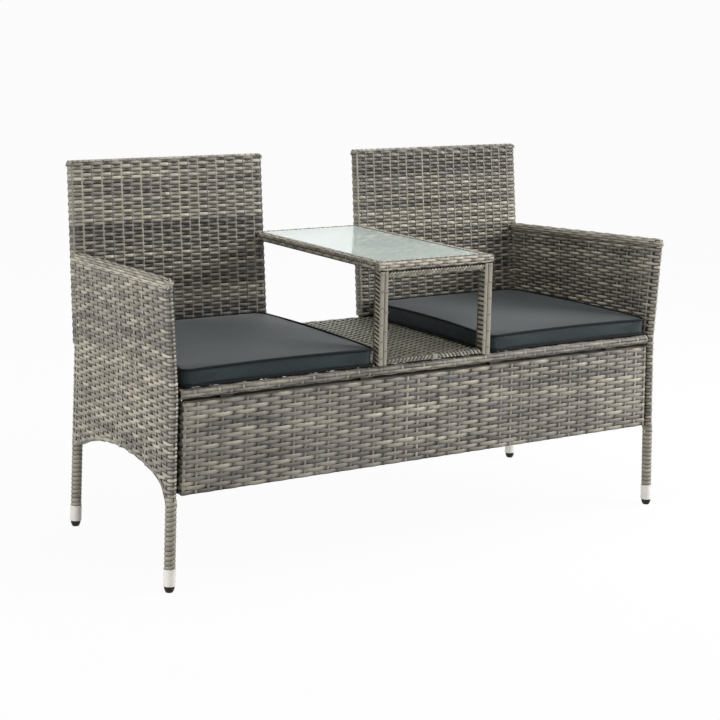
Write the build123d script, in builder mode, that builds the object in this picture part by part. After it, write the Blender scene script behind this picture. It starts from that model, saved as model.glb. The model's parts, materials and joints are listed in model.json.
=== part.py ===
# Two-seat garden bench of plastic rattan woven over a steel tube frame, with a
# glass-topped coffee table between the seats and two loose seat cushions.
# Millimetres, +Z up, +X along the bench, the front towards -Y, and the origin
# on the floor under the middle of the bench.
import os
from math import atan2, cos, radians, sin, sqrt

from build123d import *

os.makedirs("parts", exist_ok=True)

# Overall form
back_top_z = 841.5
seat_top_z = 428.0
arm_front_z = 645.0
arm_rear_z = 624.0
seat_depth = 507.0
front_half_span = 643.0
rear_half_span = 620.5
leg_splay = 13.0
arm_flare = 13.0
post_draw_in = 7.5
front_rake = 6.0
rear_rake = 5.5
back_lean = 5.2

# Steel tubes, and the rattan wound or woven round them
tube_d = 20.0
tube_wall = 1.2
bar_d = 16.0
bend_radius = 120.0
arch_rod_d = 8.0
weave_t = 3.7
leg_wrap_t = 2.2
arm_wrap_t = 3.2
rail_wrap_t = 2.0
back_edge_radius = 8.0
apron_edge_radius = 6.0

# Feet
glide_h = 14.0
glide_d = 23.0
glide_tip_d = 15.0
glide_stem_h = 18.0
sleeve_top = 50.0
sleeve_d = 26.0

# Arched lower edge of the sides, measured along the side from its front leg
arch_apex_z = 252.0
arch_apex_run = 215.0
arch_shoulder_z = 233.0
arch_shoulder_run = 57.0
arch_front_z = 191.0
arch_rear_z = 194.0

# Seat frame, deck and front apron
seat_side_gap = 4.0
end_rail_set = 6.0
seat_bar_x = 380.0
apron_bottom_z = 203.0
apron_rail_gap = 4.0
apron_leg_gap = 4.5
apron_proud = 2.0
apron_upright_x = 210.0
hanger_w = 30.0
hanger_t = 4.0
hanger_x = (-520.0, -175.0, 175.0, 520.0)

# Coffee table
table_half_w = 152.5
table_top_z = 655.0
table_front_set = 14.0
table_rear_set = 8.0
rim_h = 19.5
rim_lip = 20.0
rim_front_lip = 24.0
rim_rear_lip = 8.0
rim_ledge = 8.0
rim_edge_radius = 4.0
rim_core = 12.0
back_inner_set = 0.5
rear_core_w = 4.0
rear_core_h = 10.0
loop_side_set = 1.5
loop_post_w = 22.0
loop_depth = 26.0
loop_bar_h = 14.0
loop_core_w = 12.0
loop_core_h = 8.0
loop_edge_radius = 3.5
glass_t = 5.0
glass_drop = 1.0
glass_side_gap = 1.2
glass_corner_radius = 5.0
glass_edge_chamfer = 0.8
pad_d = 7.0
pad_t = 1.0

# Fasteners
bolt_d = 6.0
bolt_head_d = 11.0
bolt_head_h = 4.0
seat_bolt_runs = (0.18, 0.5, 0.82)
loop_bolt_x = 95.0

# Cushions
cushion_edge_h = 38.0
cushion_crown = 9.0
cushion_gap = 4.0
cushion_table_gap = 2.5
cushion_front_set = 4.0
cushion_corner_radius = 14.0
cushion_draw_in = 4.0
cushion_edge_round = 3.0
cushion_crown_run = 110.0

# Clearances
fit_gap = 0.3
weld_gap = 0.2
arch_rod_slack = 1.0

# Derived levels and thicknesses
leg_wrap_d = tube_d + 2 * (fit_gap + leg_wrap_t)
arm_wrap_d = tube_d + 2 * (fit_gap + arm_wrap_t)
rail_wrap_d = tube_d + 2 * (fit_gap + rail_wrap_t)
wrap_bore = tube_d + 2 * fit_gap
tube_bore = tube_d - 2 * tube_wall
bar_bore = bar_d - 2 * tube_wall
weld_d = tube_d + 2 * weld_gap
panel_t = tube_d + 2 * (fit_gap + weave_t)
side_t = bar_d + 2 * (fit_gap + weave_t)
knee_z = seat_top_z - rail_wrap_d / 2
side_run = sqrt(seat_depth**2 + (front_half_span - rear_half_span) ** 2)
back_inner_x = table_half_w - rim_lip - back_inner_set
loop_half_w = table_half_w - loop_side_set
lean = radians(back_lean)

# The bench stands centred over the origin, so the seat's place in depth comes
# from how far the front feet and the tops of the backrests reach
leg_length = sqrt(leg_splay**2 + front_rake**2 + knee_z**2)
foot_reach = front_rake * (1 - glide_h / leg_length)
foot_reach += sleeve_d / 2 * sqrt(1 - (front_rake / leg_length) ** 2)
edge_in = panel_t / 2 - back_edge_radius
back_len = (back_top_z - knee_z - back_edge_radius - edge_in * sin(lean)) / cos(lean) + back_edge_radius
back_reach = (back_len - back_edge_radius) * sin(lean) + edge_in * cos(lean) + back_edge_radius
front_y = -(foot_reach + seat_depth + back_reach) / 2 + foot_reach
rear_y = front_y + seat_depth
back_plane = Plane(origin=(0, rear_y, knee_z), x_dir=(1, 0, 0), z_dir=(0, -cos(lean), sin(lean)))
back_bottom = (seat_top_z - knee_z + fit_gap + panel_t / 2 * sin(lean)) / cos(lean)

SIDES = (("left", -1), ("right", 1))


def finish(part, label):
    """Names a finished sub-part and writes its file."""
    part.part.label = label
    export_step(part.part, f"parts/{label}.step")


def tube(start, end, outer, bore=0.0, mode=Mode.ADD):
    """Straight tube, or rod where it has no bore, between two points of the open part."""
    with BuildSketch(Plane(origin=start, z_dir=end - start)) as section:
        Circle(outer / 2)
        if bore:
            Circle(bore / 2, mode=Mode.SUBTRACT)
    extrude(section.sketch, amount=(end - start).length, mode=mode)


def bent_tube(points, outer, bore=0.0, mode=Mode.ADD):
    """Tube with one bend, through three points of the open part."""
    with BuildLine() as path:
        FilletPolyline(*points, radius=bend_radius)
    route = path.wire()
    with BuildSketch(Plane(origin=route @ 0, z_dir=route % 0)) as section:
        Circle(outer / 2)
        if bore:
            Circle(bore / 2, mode=Mode.SUBTRACT)
    sweep(section.sketch, path=route, mode=mode)


def block(low, high, mode=Mode.ADD):
    """Upright block between its lowest and highest corners, in the open part."""
    with BuildSketch(Plane.XY.offset(low[2])) as section:
        with Locations(((low[0] + high[0]) / 2, (low[1] + high[1]) / 2)):
            Rectangle(high[0] - low[0], high[1] - low[1])
    extrude(section.sketch, amount=high[2] - low[2], mode=mode)


def along(start, end, distance):
    """Point at a distance from start on the line to end."""
    return start + (end - start).normalized() * distance


def back_point(x, v):
    """Point of the leaning back plane, at x and at a length v up the lean."""
    return back_plane.from_local_coords(Vector(x, v, 0))


def post_x(v):
    """Outer post's distance from the bench's middle, at a length v up the lean."""
    return rear_half_span - post_draw_in * v / back_len


def lean_length(z):
    """Length up the lean at a height."""
    return (z - knee_z) / cos(lean)


# Lines of the side frames: the knees, the feet and the arms
def front_line(side):
    """Front leg's axis: foot, knee at seat height, and the arm's height."""
    foot = Vector(side * (front_half_span + leg_splay), front_y - front_rake, 0)
    knee = Vector(side * front_half_span, front_y, knee_z)
    top = Vector(side * (front_half_span + arm_flare), front_y, arm_front_z)
    return foot, knee, top


def rear_line(side):
    """Rear post's axis: foot, knee at seat height, and the top of the backrest."""
    foot = Vector(side * (rear_half_span + leg_splay), rear_y + rear_rake, 0)
    knee = Vector(side * rear_half_span, rear_y, knee_z)
    top = back_point(side * post_x(back_len), back_len)
    return foot, knee, top


def arm_line(side):
    """Arm's axis, from the front leg's top to the rear post."""
    v = lean_length(arm_rear_z)
    return front_line(side)[2], back_point(side * post_x(v), v)


def seat_edge_x(y):
    """Inner face of the side at seat height, as a distance from the bench's middle."""
    run = (y - front_y) / seat_depth
    return front_half_span + (rear_half_span - front_half_span) * run - side_t / 2


def lower_leg(line, start, over=0.0):
    """Leg's points from a length above its foot, with its top lengthened by over."""
    foot, knee, top = line
    return along(foot, knee, start), knee, top + (top - knee).normalized() * over


def rear_leg(side, start, over):
    """Rear leg's points from a length above its foot to a length over the backrest's bottom."""
    foot, knee, _ = rear_line(side)
    end = back_bottom + over
    return along(foot, knee, start), knee, back_point(side * post_x(end), end)


def cut_leg_wraps(side):
    """Takes both wound legs of a side out of the open part."""
    wrap_clear = leg_wrap_d + 2 * fit_gap
    bent_tube(lower_leg(front_line(side), glide_h, leg_wrap_d), wrap_clear, mode=Mode.SUBTRACT)
    bent_tube(rear_leg(side, glide_h, tube_d / 2), wrap_clear, mode=Mode.SUBTRACT)


def side_x(y, z):
    """Middle of a side's woven panel, as a distance from the bench's middle."""
    run = (y - front_y) / seat_depth
    span = front_half_span + (rear_half_span - front_half_span) * run
    if z < knee_z:
        return span + leg_splay * (1 - z / knee_z)
    front_flare = arm_flare / (arm_front_z - knee_z)
    rear_flare = -post_draw_in / (back_len * cos(lean))
    return span + (z - knee_z) * (front_flare + (rear_flare - front_flare) * run)


def arch_curve(lift):
    """Arch's three tangent arcs in the open line, lifted square to themselves.

    They run from the rear leg over the apex to a shoulder and down to the front
    leg, measured from the front knee along the side.
    """
    rear_run = side_run + rear_rake * (1 - arch_rear_z / knee_z) - tube_d / 2
    front_run = tube_d / 2 - front_rake * (1 - arch_front_z / knee_z)
    rear = Vector(rear_run, arch_rear_z - knee_z)
    apex = Vector(arch_apex_run, arch_apex_z - knee_z)
    shoulder = Vector(arch_shoulder_run, arch_shoulder_z - knee_z)
    front = Vector(front_run, arch_front_z - knee_z)
    rear_turn = 2 * atan2(apex.Y - rear.Y, rear.X - apex.X)
    shoulder_turn = 2 * atan2(apex.Y - shoulder.Y, apex.X - shoulder.X)
    front_turn = 2 * atan2(shoulder.Y - front.Y, shoulder.X - front.X) - shoulder_turn
    rear += Vector(sin(rear_turn), cos(rear_turn)) * lift
    apex += Vector(0, lift)
    shoulder += Vector(-sin(shoulder_turn), cos(shoulder_turn)) * lift
    front += Vector(-sin(front_turn), cos(front_turn)) * lift
    TangentArc(apex, rear, tangent=(1, 0))
    TangentArc(apex, shoulder, tangent=(-1, 0))
    TangentArc(shoulder, front, tangent=(-cos(shoulder_turn), -sin(shoulder_turn)))
    return rear, front


def side_plane(side):
    """Plane of a side's lower half, from its front knee, with x along the side."""
    foot, knee, _ = front_line(side)
    along_side = rear_line(side)[1] - knee
    return Plane(origin=knee, x_dir=along_side, z_dir=along_side.cross(knee - foot))


def arch_rod_path(side):
    """Arch rod's line, in the plane of the side's lower half."""
    with BuildLine() as path:
        arch_curve(weave_t + arch_rod_slack + arch_rod_d / 2)
    return side_plane(side).from_local_coords(path.wire())


def arch_rod_bar(side, diameter, mode=Mode.ADD):
    """Round rod along the arch, in the open part."""
    route = arch_rod_path(side)
    with BuildSketch(Plane(origin=route @ 0, z_dir=route % 0)) as section:
        Circle(diameter / 2)
    sweep(section.sketch, path=route, mode=mode)


def side_slab(side, thickness, lift):
    """Woven side's block in the open part.

    It flares above the knees, splays below them and is arched underneath.
    """
    _, arm_end = arm_line(side)
    reach = side_run + arm_end.Y - rear_y + side_t
    sections = []
    for y, top_z in ((front_y, arm_front_z), (arm_end.Y, arm_rear_z)):
        levels = (arch_front_z, knee_z, top_z)
        outer = [(side * (side_x(y, z) + thickness / 2), z) for z in levels]
        inner = [(side * (side_x(y, z) - thickness / 2), z) for z in levels]
        with BuildSketch(Plane(origin=(0, y, 0), x_dir=(1, 0, 0), z_dir=(0, -1, 0))) as section:
            with BuildLine():
                Polyline(*outer, *reversed(inner), close=True)
            make_face()
        sections.append(section.sketch)
    loft(sections, ruled=True)
    with BuildSketch(side_plane(side)) as outline:
        with BuildLine():
            rear_end, front_end = arch_curve(lift)
            Polyline(
                rear_end,
                (side_run, rear_end.Y),
                (side_run, back_bottom + 2 * tube_d),
                (reach, back_bottom + 2 * tube_d),
                (reach, arm_front_z - knee_z + side_t),
                (-side_t, arm_front_z - knee_z + side_t),
                (-side_t, front_end.Y),
                front_end,
            )
        make_face()
    extrude(outline.sketch, amount=2 * side_t + arm_flare + leg_splay, both=True, mode=Mode.INTERSECT)


def seat_bolt_axis(side, run):
    """Head end and tip of a seat bolt, square to the side, through end rail and stretcher."""
    start, end = end_rail_line(side)
    inner = start + (end - start) * run
    square = Vector(0, 0, 1).cross(end - start).normalized()
    square = square if square.X * side > 0 else -square
    pitch = (bar_d + side_t) / 2 + seat_side_gap + end_rail_set
    return inner - square * (bar_d / 2 + fit_gap), inner + square * (pitch + bar_d / 4)


def end_rail_line(side):
    """Seat's end rail, from the front rail to the rear rail."""
    inset = seat_side_gap + end_rail_set + bar_d / 2
    start = Vector(side * (seat_edge_x(front_y) - inset), front_y, knee_z)
    end = Vector(side * (seat_edge_x(rear_y) - inset), rear_y, knee_z)
    return start, end


def drill_seat_bolts(side):
    """Clearance holes for the seat bolts of one side, in the open part."""
    for run in seat_bolt_runs:
        head, tip = seat_bolt_axis(side, run)
        tube(along(head, tip, -bar_d), tip + (tip - head) * 0.1, bolt_d + 2 * fit_gap, mode=Mode.SUBTRACT)


# Table levels and places
rim_bottom_z = table_top_z - rim_h
glass_top_z = table_top_z - glass_drop
ledge_z = glass_top_z - glass_t - pad_t
table_front_y = front_y - table_front_set
rim_side_in = table_half_w - rim_lip
rim_side_y = table_front_y + rim_front_lip + rim_ledge
rim_core_z = rim_bottom_z + (ledge_z - rim_bottom_z) / 2
table_rear_y = back_point(0, lean_length(rim_core_z)).Y + table_rear_set
rear_ledge_y = table_rear_y - rim_rear_lip - rim_ledge
inner_post_x = back_inner_x + panel_t / 2
loop_top_z = rim_bottom_z - fit_gap
loop_bottom_z = seat_top_z + fit_gap
loop_mid_y = front_y
rim_core_x = table_half_w - rim_lip / 2


def rim_core_bars(grow, mode=Mode.ADD):
    """Table top's welded U: a front bar and two side bars that reach the backrests' inner posts."""
    half = rim_core / 2 + grow
    bar_y = table_front_y + rim_front_lip / 2
    reach = back_point(0, lean_length(rim_core_z)).Y
    with BuildSketch(Plane.XY.offset(rim_core_z - half)) as section:
        with BuildLine():
            Polyline(
                (-rim_core_x - half, bar_y - half),
                (rim_core_x + half, bar_y - half),
                (rim_core_x + half, reach),
                (rim_core_x - half, reach),
                (rim_core_x - half, bar_y + half),
                (half - rim_core_x, bar_y + half),
                (half - rim_core_x, reach),
                (-rim_core_x - half, reach),
                close=True,
            )
        make_face()
    extrude(section.sketch, amount=2 * half, mode=mode)


def rear_core_bar(grow, mode=Mode.ADD):
    """Flat bar behind the glass, from one inner post to the other."""
    mid_y = table_rear_y - rim_rear_lip / 2
    low = (-inner_post_x, mid_y - rear_core_w / 2 - grow, rim_core_z - rear_core_h / 2 - grow)
    high = (inner_post_x, mid_y + rear_core_w / 2 + grow, rim_core_z + rear_core_h / 2 + grow)
    block(low, high, mode)


def loop_core_ring(grow, mode=Mode.ADD):
    """Welded rectangle inside the table's front leg loop."""
    post_x_mid = loop_half_w - loop_post_w / 2
    low_z = loop_bottom_z + loop_bar_h / 2
    high_z = loop_top_z - loop_bar_h / 2
    mid_z = (low_z + high_z) / 2
    with BuildSketch(Plane(origin=(0, loop_mid_y, mid_z), x_dir=(1, 0, 0), z_dir=(0, -1, 0))) as section:
        Rectangle(2 * post_x_mid + loop_core_w + 2 * grow, high_z - low_z + loop_core_h + 2 * grow)
        Rectangle(
            2 * post_x_mid - loop_core_w - 2 * grow,
            high_z - low_z - loop_core_h - 2 * grow,
            mode=Mode.SUBTRACT,
        )
    extrude(section.sketch, amount=loop_core_w / 2 + grow, both=True, mode=mode)


def cut_inner_posts(mode=Mode.SUBTRACT):
    """Takes both inner posts, with a weld's gap, out of the open part."""
    for _, side in SIDES:
        low = back_point(side * inner_post_x, 0)
        tube(low, back_point(side * inner_post_x, back_len), weld_d, mode=mode)


def back_outline(side, inset, bottom):
    """Backrest's face in the back plane: its outer edge follows the post."""
    inner = side * (back_inner_x + inset)
    low = side * (post_x(bottom) + panel_t / 2 - inset)
    high = side * (post_x(back_len) + panel_t / 2 - inset)
    with BuildSketch(back_plane) as face:
        with BuildLine():
            Polyline(
                (inner, bottom),
                (low, bottom),
                (high, back_len - inset),
                (inner, back_len - inset),
                close=True,
            )
        make_face()
    return face.sketch


def loop_bolts(grow, mode=Mode.ADD):
    """Bolts of the leg loop: one down into the seat's front rail, two up into the rim's bar."""
    foot_seat = loop_bottom_z + (loop_bar_h + loop_core_h) / 2 + weld_gap
    top_seat = loop_top_z - (loop_bar_h + loop_core_h) / 2 - weld_gap
    up = Vector(0, 0, 1)
    spots = [(0.0, foot_seat, -1, foot_seat - knee_z)]
    spots += [(x, top_seat, 1, rim_core_z - top_seat) for x in (-loop_bolt_x, loop_bolt_x)]
    for x, seat_z, way, reach in spots:
        seat = Vector(x, loop_mid_y, seat_z)
        tube(seat, seat + up * (way * (reach + grow)), bolt_d + 2 * grow, mode=mode)
        tube(seat - up * (way * (bolt_head_h + grow * loop_depth)), seat, bolt_head_d + 2 * grow, mode=mode)


def drill_loop_bolts():
    """Clearance for the leg loop's bolts and their heads, in the open part."""
    loop_bolts(fit_gap, Mode.SUBTRACT)


def cut_seat_rails():
    """Takes the seat's front and rear rails, with a weld's gap, out of the open part."""
    for y in (front_y, rear_y):
        end = Vector(front_half_span, y, knee_z)
        tube(Vector(-front_half_span, y, knee_z), end, weld_d, mode=Mode.SUBTRACT)


def cut_back(side):
    """Takes one backrest, with its clearance, out of the open part."""
    face = back_outline(side, -fit_gap, back_bottom)
    extrude(face, amount=panel_t / 2 + fit_gap, both=True, mode=Mode.SUBTRACT)


# Backrests: a woven sheath pulled over a frame of an outer post, an inner post,
# rails at the top and bottom and one stay between them
top_rail_v = back_len - weave_t - fit_gap - tube_d / 2
bottom_rail_v = back_bottom + weave_t + bar_d / 2


def back_top_line(side):
    """Backrest's top rail, between the sheath's two side walls."""
    start = side * (back_inner_x + weave_t + fit_gap)
    end = side * (post_x(back_len) + panel_t / 2 - weave_t - fit_gap)
    return back_point(start, top_rail_v), back_point(end, top_rail_v)


def back_bottom_line(side):
    """Backrest's bottom rail, from the inner post to the outer post."""
    inner = back_point(side * inner_post_x, bottom_rail_v)
    return inner, back_point(side * post_x(bottom_rail_v), bottom_rail_v)


def inner_post_line(side):
    """Backrest's inner post, from the seat's rear rail to the top rail."""
    return back_point(side * inner_post_x, 0), back_point(side * inner_post_x, top_rail_v)


for name, side in SIDES:
    with BuildPart() as back_panel:
        extrude(back_outline(side, 0, back_bottom), amount=panel_t / 2, both=True)
        floor_edges = back_panel.faces().sort_by(Axis.Z)[0].edges()
        fillet([edge for edge in back_panel.edges() if edge not in floor_edges], back_edge_radius)
        extrude(
            back_outline(side, weave_t, back_bottom - tube_d),
            amount=panel_t / 2 - weave_t,
            both=True,
            mode=Mode.SUBTRACT,
        )
        tube(*arm_line(side), wrap_bore, mode=Mode.SUBTRACT)
        rim_core_bars(fit_gap, Mode.SUBTRACT)
        rear_core_bar(fit_gap, Mode.SUBTRACT)
    finish(back_panel, f"back_panel_{name}")

    with BuildPart() as rear_post:
        foot, knee, _ = rear_line(side)
        post_end = back_point(side * post_x(top_rail_v), top_rail_v)
        bent_tube((along(foot, knee, glide_h), knee, post_end), tube_d, tube_bore)
        tube(*back_top_line(side), weld_d, mode=Mode.SUBTRACT)
    finish(rear_post, f"rear_post_{name}")

    with BuildPart() as back_inner_post:
        tube(*inner_post_line(side), tube_d, tube_bore)
        tube(*back_top_line(side), weld_d, mode=Mode.SUBTRACT)
        cut_seat_rails()
    finish(back_inner_post, f"back_inner_post_{name}")

    with BuildPart() as back_top_rail:
        tube(*back_top_line(side), tube_d, tube_bore)
    finish(back_top_rail, f"back_top_rail_{name}")

with BuildPart() as back_bottom_rails:
    for _, side in SIDES:
        tube(*back_bottom_line(side), bar_d, bar_bore)
        tube(*inner_post_line(side), weld_d, mode=Mode.SUBTRACT)
        tube(*rear_line(side)[1:], weld_d, mode=Mode.SUBTRACT)
finish(back_bottom_rails, "back_bottom_rails")

with BuildPart() as back_stays:
    for _, side in SIDES:
        stay_x = side * (inner_post_x + rear_half_span) / 2
        tube(back_point(stay_x, bottom_rail_v), back_point(stay_x, top_rail_v), bar_d, bar_bore)
        tube(*back_bottom_line(side), bar_d + 2 * weld_gap, mode=Mode.SUBTRACT)
        tube(*back_top_line(side), weld_d, mode=Mode.SUBTRACT)
finish(back_stays, "back_stays")


# Sides: a front leg that flares into the arm, the arm rail, a stretcher at seat
# height, an arch rod, their windings, and the double woven panel between them
for name, side in SIDES:
    front_foot, front_knee, front_top = front_line(side)
    rear_foot, rear_knee, rear_top = rear_line(side)
    arm_start, arm_end = arm_line(side)
    leg_tube = lower_leg(front_line(side), glide_h, tube_d / 2)
    leg_top_cut = lower_leg(front_line(side), glide_h, arm_wrap_d)

    with BuildPart() as front_leg:
        bent_tube(leg_tube, tube_d, tube_bore)
    finish(front_leg, f"front_leg_{name}")

    with BuildPart() as arm_rail:
        tube(arm_start, arm_end, tube_d, tube_bore)
        bent_tube(leg_top_cut, weld_d, mode=Mode.SUBTRACT)
        tube(rear_knee, rear_top, weld_d, mode=Mode.SUBTRACT)
    finish(arm_rail, f"arm_rail_{name}")

    with BuildPart() as side_stretcher:
        tube(front_knee, rear_knee, bar_d, bar_bore)
        bent_tube(leg_tube, weld_d, mode=Mode.SUBTRACT)
        bent_tube((rear_foot, rear_knee, rear_top), weld_d, mode=Mode.SUBTRACT)
        drill_seat_bolts(side)
    finish(side_stretcher, f"side_stretcher_{name}")

    with BuildPart() as arch_rod:
        arch_rod_bar(side, arch_rod_d)
        bent_tube(leg_tube, weld_d, mode=Mode.SUBTRACT)
        bent_tube((rear_foot, rear_knee, rear_top), weld_d, mode=Mode.SUBTRACT)
    finish(arch_rod, f"arch_rod_{name}")

    with BuildPart() as front_leg_wrap:
        bent_tube(lower_leg(front_line(side), sleeve_top + fit_gap, arm_wrap_d / 2), leg_wrap_d)
        bent_tube(lower_leg(front_line(side), glide_h, tube_d / 2 + fit_gap), wrap_bore, mode=Mode.SUBTRACT)
        tube(arm_start, arm_end, wrap_bore, mode=Mode.SUBTRACT)
        tube(front_knee, rear_knee, bar_d + 2 * fit_gap, mode=Mode.SUBTRACT)
        arch_rod_bar(side, arch_rod_d + 2 * fit_gap, Mode.SUBTRACT)
    finish(front_leg_wrap, f"front_leg_wrap_{name}")

    with BuildPart() as rear_leg_wrap:
        bent_tube(rear_leg(side, sleeve_top + fit_gap, -2 * fit_gap), leg_wrap_d, wrap_bore)
        tube(front_knee, rear_knee, bar_d + 2 * fit_gap, mode=Mode.SUBTRACT)
        arch_rod_bar(side, arch_rod_d + 2 * fit_gap, Mode.SUBTRACT)
    finish(rear_leg_wrap, f"rear_leg_wrap_{name}")

    with BuildPart() as arm_wrap:
        tube(arm_start, arm_end, arm_wrap_d, wrap_bore)
        bent_tube(leg_top_cut, leg_wrap_d + 2 * fit_gap, mode=Mode.SUBTRACT)
        cut_back(side)
    finish(arm_wrap, f"arm_wrap_{name}")

    with BuildPart() as side_hollow:
        side_slab(side, side_t - 2 * weave_t, weave_t)

    with BuildPart() as side_panel:
        side_slab(side, side_t, 0)
        add(side_hollow.part, mode=Mode.SUBTRACT)
        cut_back(side)
        cut_leg_wraps(side)
        tube(arm_start, arm_end, arm_wrap_d + 2 * fit_gap, mode=Mode.SUBTRACT)
        drill_seat_bolts(side)
    finish(side_panel, f"side_panel_{name}")


# Feet: a cream sleeve over each leg's end and a black glide plugged into its bore
with BuildPart() as foot_sleeves:
    for _, side in SIDES:
        for foot, knee, _ in (front_line(side), rear_line(side)):
            tube(along(foot, knee, glide_h), along(foot, knee, sleeve_top), sleeve_d, wrap_bore)
finish(foot_sleeves, "foot_sleeves")

for place, line in (("front", front_line), ("rear", rear_line)):
    for name, side in SIDES:
        foot, knee, _ = line(side)
        across = Vector(1, 0, 0).cross(knee - foot).cross(knee - foot)
        with BuildPart() as glide:
            with BuildSketch(Plane(origin=foot, x_dir=across, z_dir=across.cross(knee - foot))):
                with BuildLine():
                    low = -glide_d * leg_splay / knee_z
                    stem = (tube_bore - 2 * fit_gap) / 2
                    shoulder = Polyline(
                        (glide_tip_d / 2, 0),
                        (glide_tip_d / 2, low),
                        (0, low),
                        (0, glide_h + glide_stem_h),
                        (stem, glide_h + glide_stem_h),
                        (stem, glide_h - weld_gap),
                        (glide_d / 2, glide_h - weld_gap),
                    )
                    TangentArc(shoulder @ 1, shoulder @ 0, tangent=(0, -1))
                make_face()
            revolve(axis=Axis(foot, knee - foot))
            split(bisect_by=Plane.XY, keep=Keep.TOP)
        finish(glide, f"glide_{place}_{name}")


# Front apron: a woven sheath over its own frame, hung from the seat's front rail
apron_top_z = knee_z - rail_wrap_d / 2 - apron_rail_gap
apron_y = front_y - rail_wrap_d / 2 - apron_proud + panel_t / 2
apron_bar_top_z = apron_top_z - weave_t - fit_gap - tube_d / 2
apron_bar_low_z = apron_bottom_z + weave_t + fit_gap + tube_d / 2


def apron_half_w(z):
    """Apron's half width at a height: its ends follow the splayed legs."""
    leg_x = front_half_span + leg_splay * (1 - z / knee_z)
    return leg_x - leg_wrap_d / 2 - apron_leg_gap


def apron_outline(inset):
    """Apron's front face in its middle plane, drawn in by inset."""
    low_z = apron_bottom_z + inset
    high_z = apron_top_z - inset
    low_x = apron_half_w(low_z) - inset
    high_x = apron_half_w(high_z) - inset
    with BuildSketch(Plane(origin=(0, apron_y, 0), x_dir=(1, 0, 0), z_dir=(0, -1, 0))) as face:
        with BuildLine():
            Polyline((-low_x, low_z), (low_x, low_z), (high_x, high_z), (-high_x, high_z), close=True)
        make_face()
    return face.sketch


def apron_bar(z, outer, bore=0.0, mode=Mode.ADD):
    """Apron frame's long bar at a height, in the open part."""
    end = apron_half_w(z + outer / 2) - weave_t - fit_gap
    tube(Vector(-end, apron_y, z), Vector(end, apron_y, z), outer, bore, mode)


def hangers(grow, mode=Mode.ADD):
    """Flat tabs that hang the apron's top bar from the seat's front rail, in the open part."""
    for x in hanger_x:
        low = (x - hanger_w / 2 - grow, apron_y - hanger_t / 2 - grow, apron_bar_top_z)
        high = (x + hanger_w / 2 + grow, apron_y + hanger_t / 2 + grow, knee_z)
        block(low, high, mode)


with BuildPart() as apron_panel:
    extrude(apron_outline(0), amount=panel_t / 2, both=True)
    fillet(apron_panel.edges(), apron_edge_radius)
    extrude(apron_outline(weave_t), amount=panel_t / 2 - weave_t, both=True, mode=Mode.SUBTRACT)
    hangers(fit_gap, Mode.SUBTRACT)
finish(apron_panel, "apron_panel")

with BuildPart() as apron_bars:
    apron_bar(apron_bar_top_z, tube_d, tube_bore)
    apron_bar(apron_bar_low_z, tube_d, tube_bore)
finish(apron_bars, "apron_bars")

with BuildPart() as apron_uprights:
    end_low = apron_half_w(apron_bar_low_z) - weave_t - fit_gap - tube_d / 2
    end_high = apron_half_w(apron_bar_top_z) - weave_t - fit_gap - tube_d / 2
    for low_x, high_x in (
        (-end_low, -end_high),
        (-apron_upright_x, -apron_upright_x),
        (apron_upright_x, apron_upright_x),
        (end_low, end_high),
    ):
        low = Vector(low_x, apron_y, apron_bar_low_z)
        tube(low, Vector(high_x, apron_y, apron_bar_top_z), bar_d, bar_bore)
    apron_bar(apron_bar_low_z, weld_d, mode=Mode.SUBTRACT)
    apron_bar(apron_bar_top_z, weld_d, mode=Mode.SUBTRACT)
finish(apron_uprights, "apron_uprights")

with BuildPart() as apron_hangers:
    hangers(0)
    apron_bar(apron_bar_top_z, weld_d, mode=Mode.SUBTRACT)
    cut_seat_rails()
finish(apron_hangers, "apron_hangers")


# Seat frame: wound front and rear rails, two end rails bolted to the sides, and
# cross bars under the woven deck
rail_gap = seat_side_gap + fit_gap
front_rail_end = seat_edge_x(front_y) - rail_gap
rear_rail_end = seat_edge_x(rear_y) - rail_gap
deck_front_y = front_y + rail_wrap_d / 2 + fit_gap
deck_rear_y = rear_y - rail_wrap_d / 2 - fit_gap
deck_low_z = knee_z + bar_d / 2 + fit_gap
seat_bars = (-seat_bar_x, 0.0, seat_bar_x)


def cut_seat_bars(outer):
    """Takes the end rails and cross bars out of the open part."""
    for _, side in SIDES:
        tube(*end_rail_line(side), outer, mode=Mode.SUBTRACT)
    for x in seat_bars:
        tube(Vector(x, front_y, knee_z), Vector(x, rear_y, knee_z), outer, mode=Mode.SUBTRACT)


for place, y, end in (("front", front_y, front_rail_end), ("rear", rear_y, rear_rail_end)):
    rail_start = Vector(-end, y, knee_z)
    rail_end = Vector(end, y, knee_z)
    with BuildPart() as seat_rail:
        tube(rail_start, rail_end, tube_d, tube_bore)
        if place == "front":
            drill_loop_bolts()
    finish(seat_rail, f"seat_{place}_rail")

    with BuildPart() as seat_rail_wrap:
        tube(rail_start, rail_end, rail_wrap_d, wrap_bore)
        cut_seat_bars(bar_d + 2 * fit_gap)
        if place == "front":
            hangers(fit_gap, Mode.SUBTRACT)
            drill_loop_bolts()
        else:
            cut_inner_posts()
    finish(seat_rail_wrap, f"seat_{place}_rail_wrap")

for name, side in SIDES:
    with BuildPart() as seat_end_rail:
        tube(*end_rail_line(side), bar_d, bar_bore)
        cut_seat_rails()
        drill_seat_bolts(side)
    finish(seat_end_rail, f"seat_end_rail_{name}")

with BuildPart() as seat_cross_bars:
    for x in seat_bars:
        tube(Vector(x, front_y, knee_z), Vector(x, rear_y, knee_z), bar_d, bar_bore)
    cut_seat_rails()
finish(seat_cross_bars, "seat_cross_bars")

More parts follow.
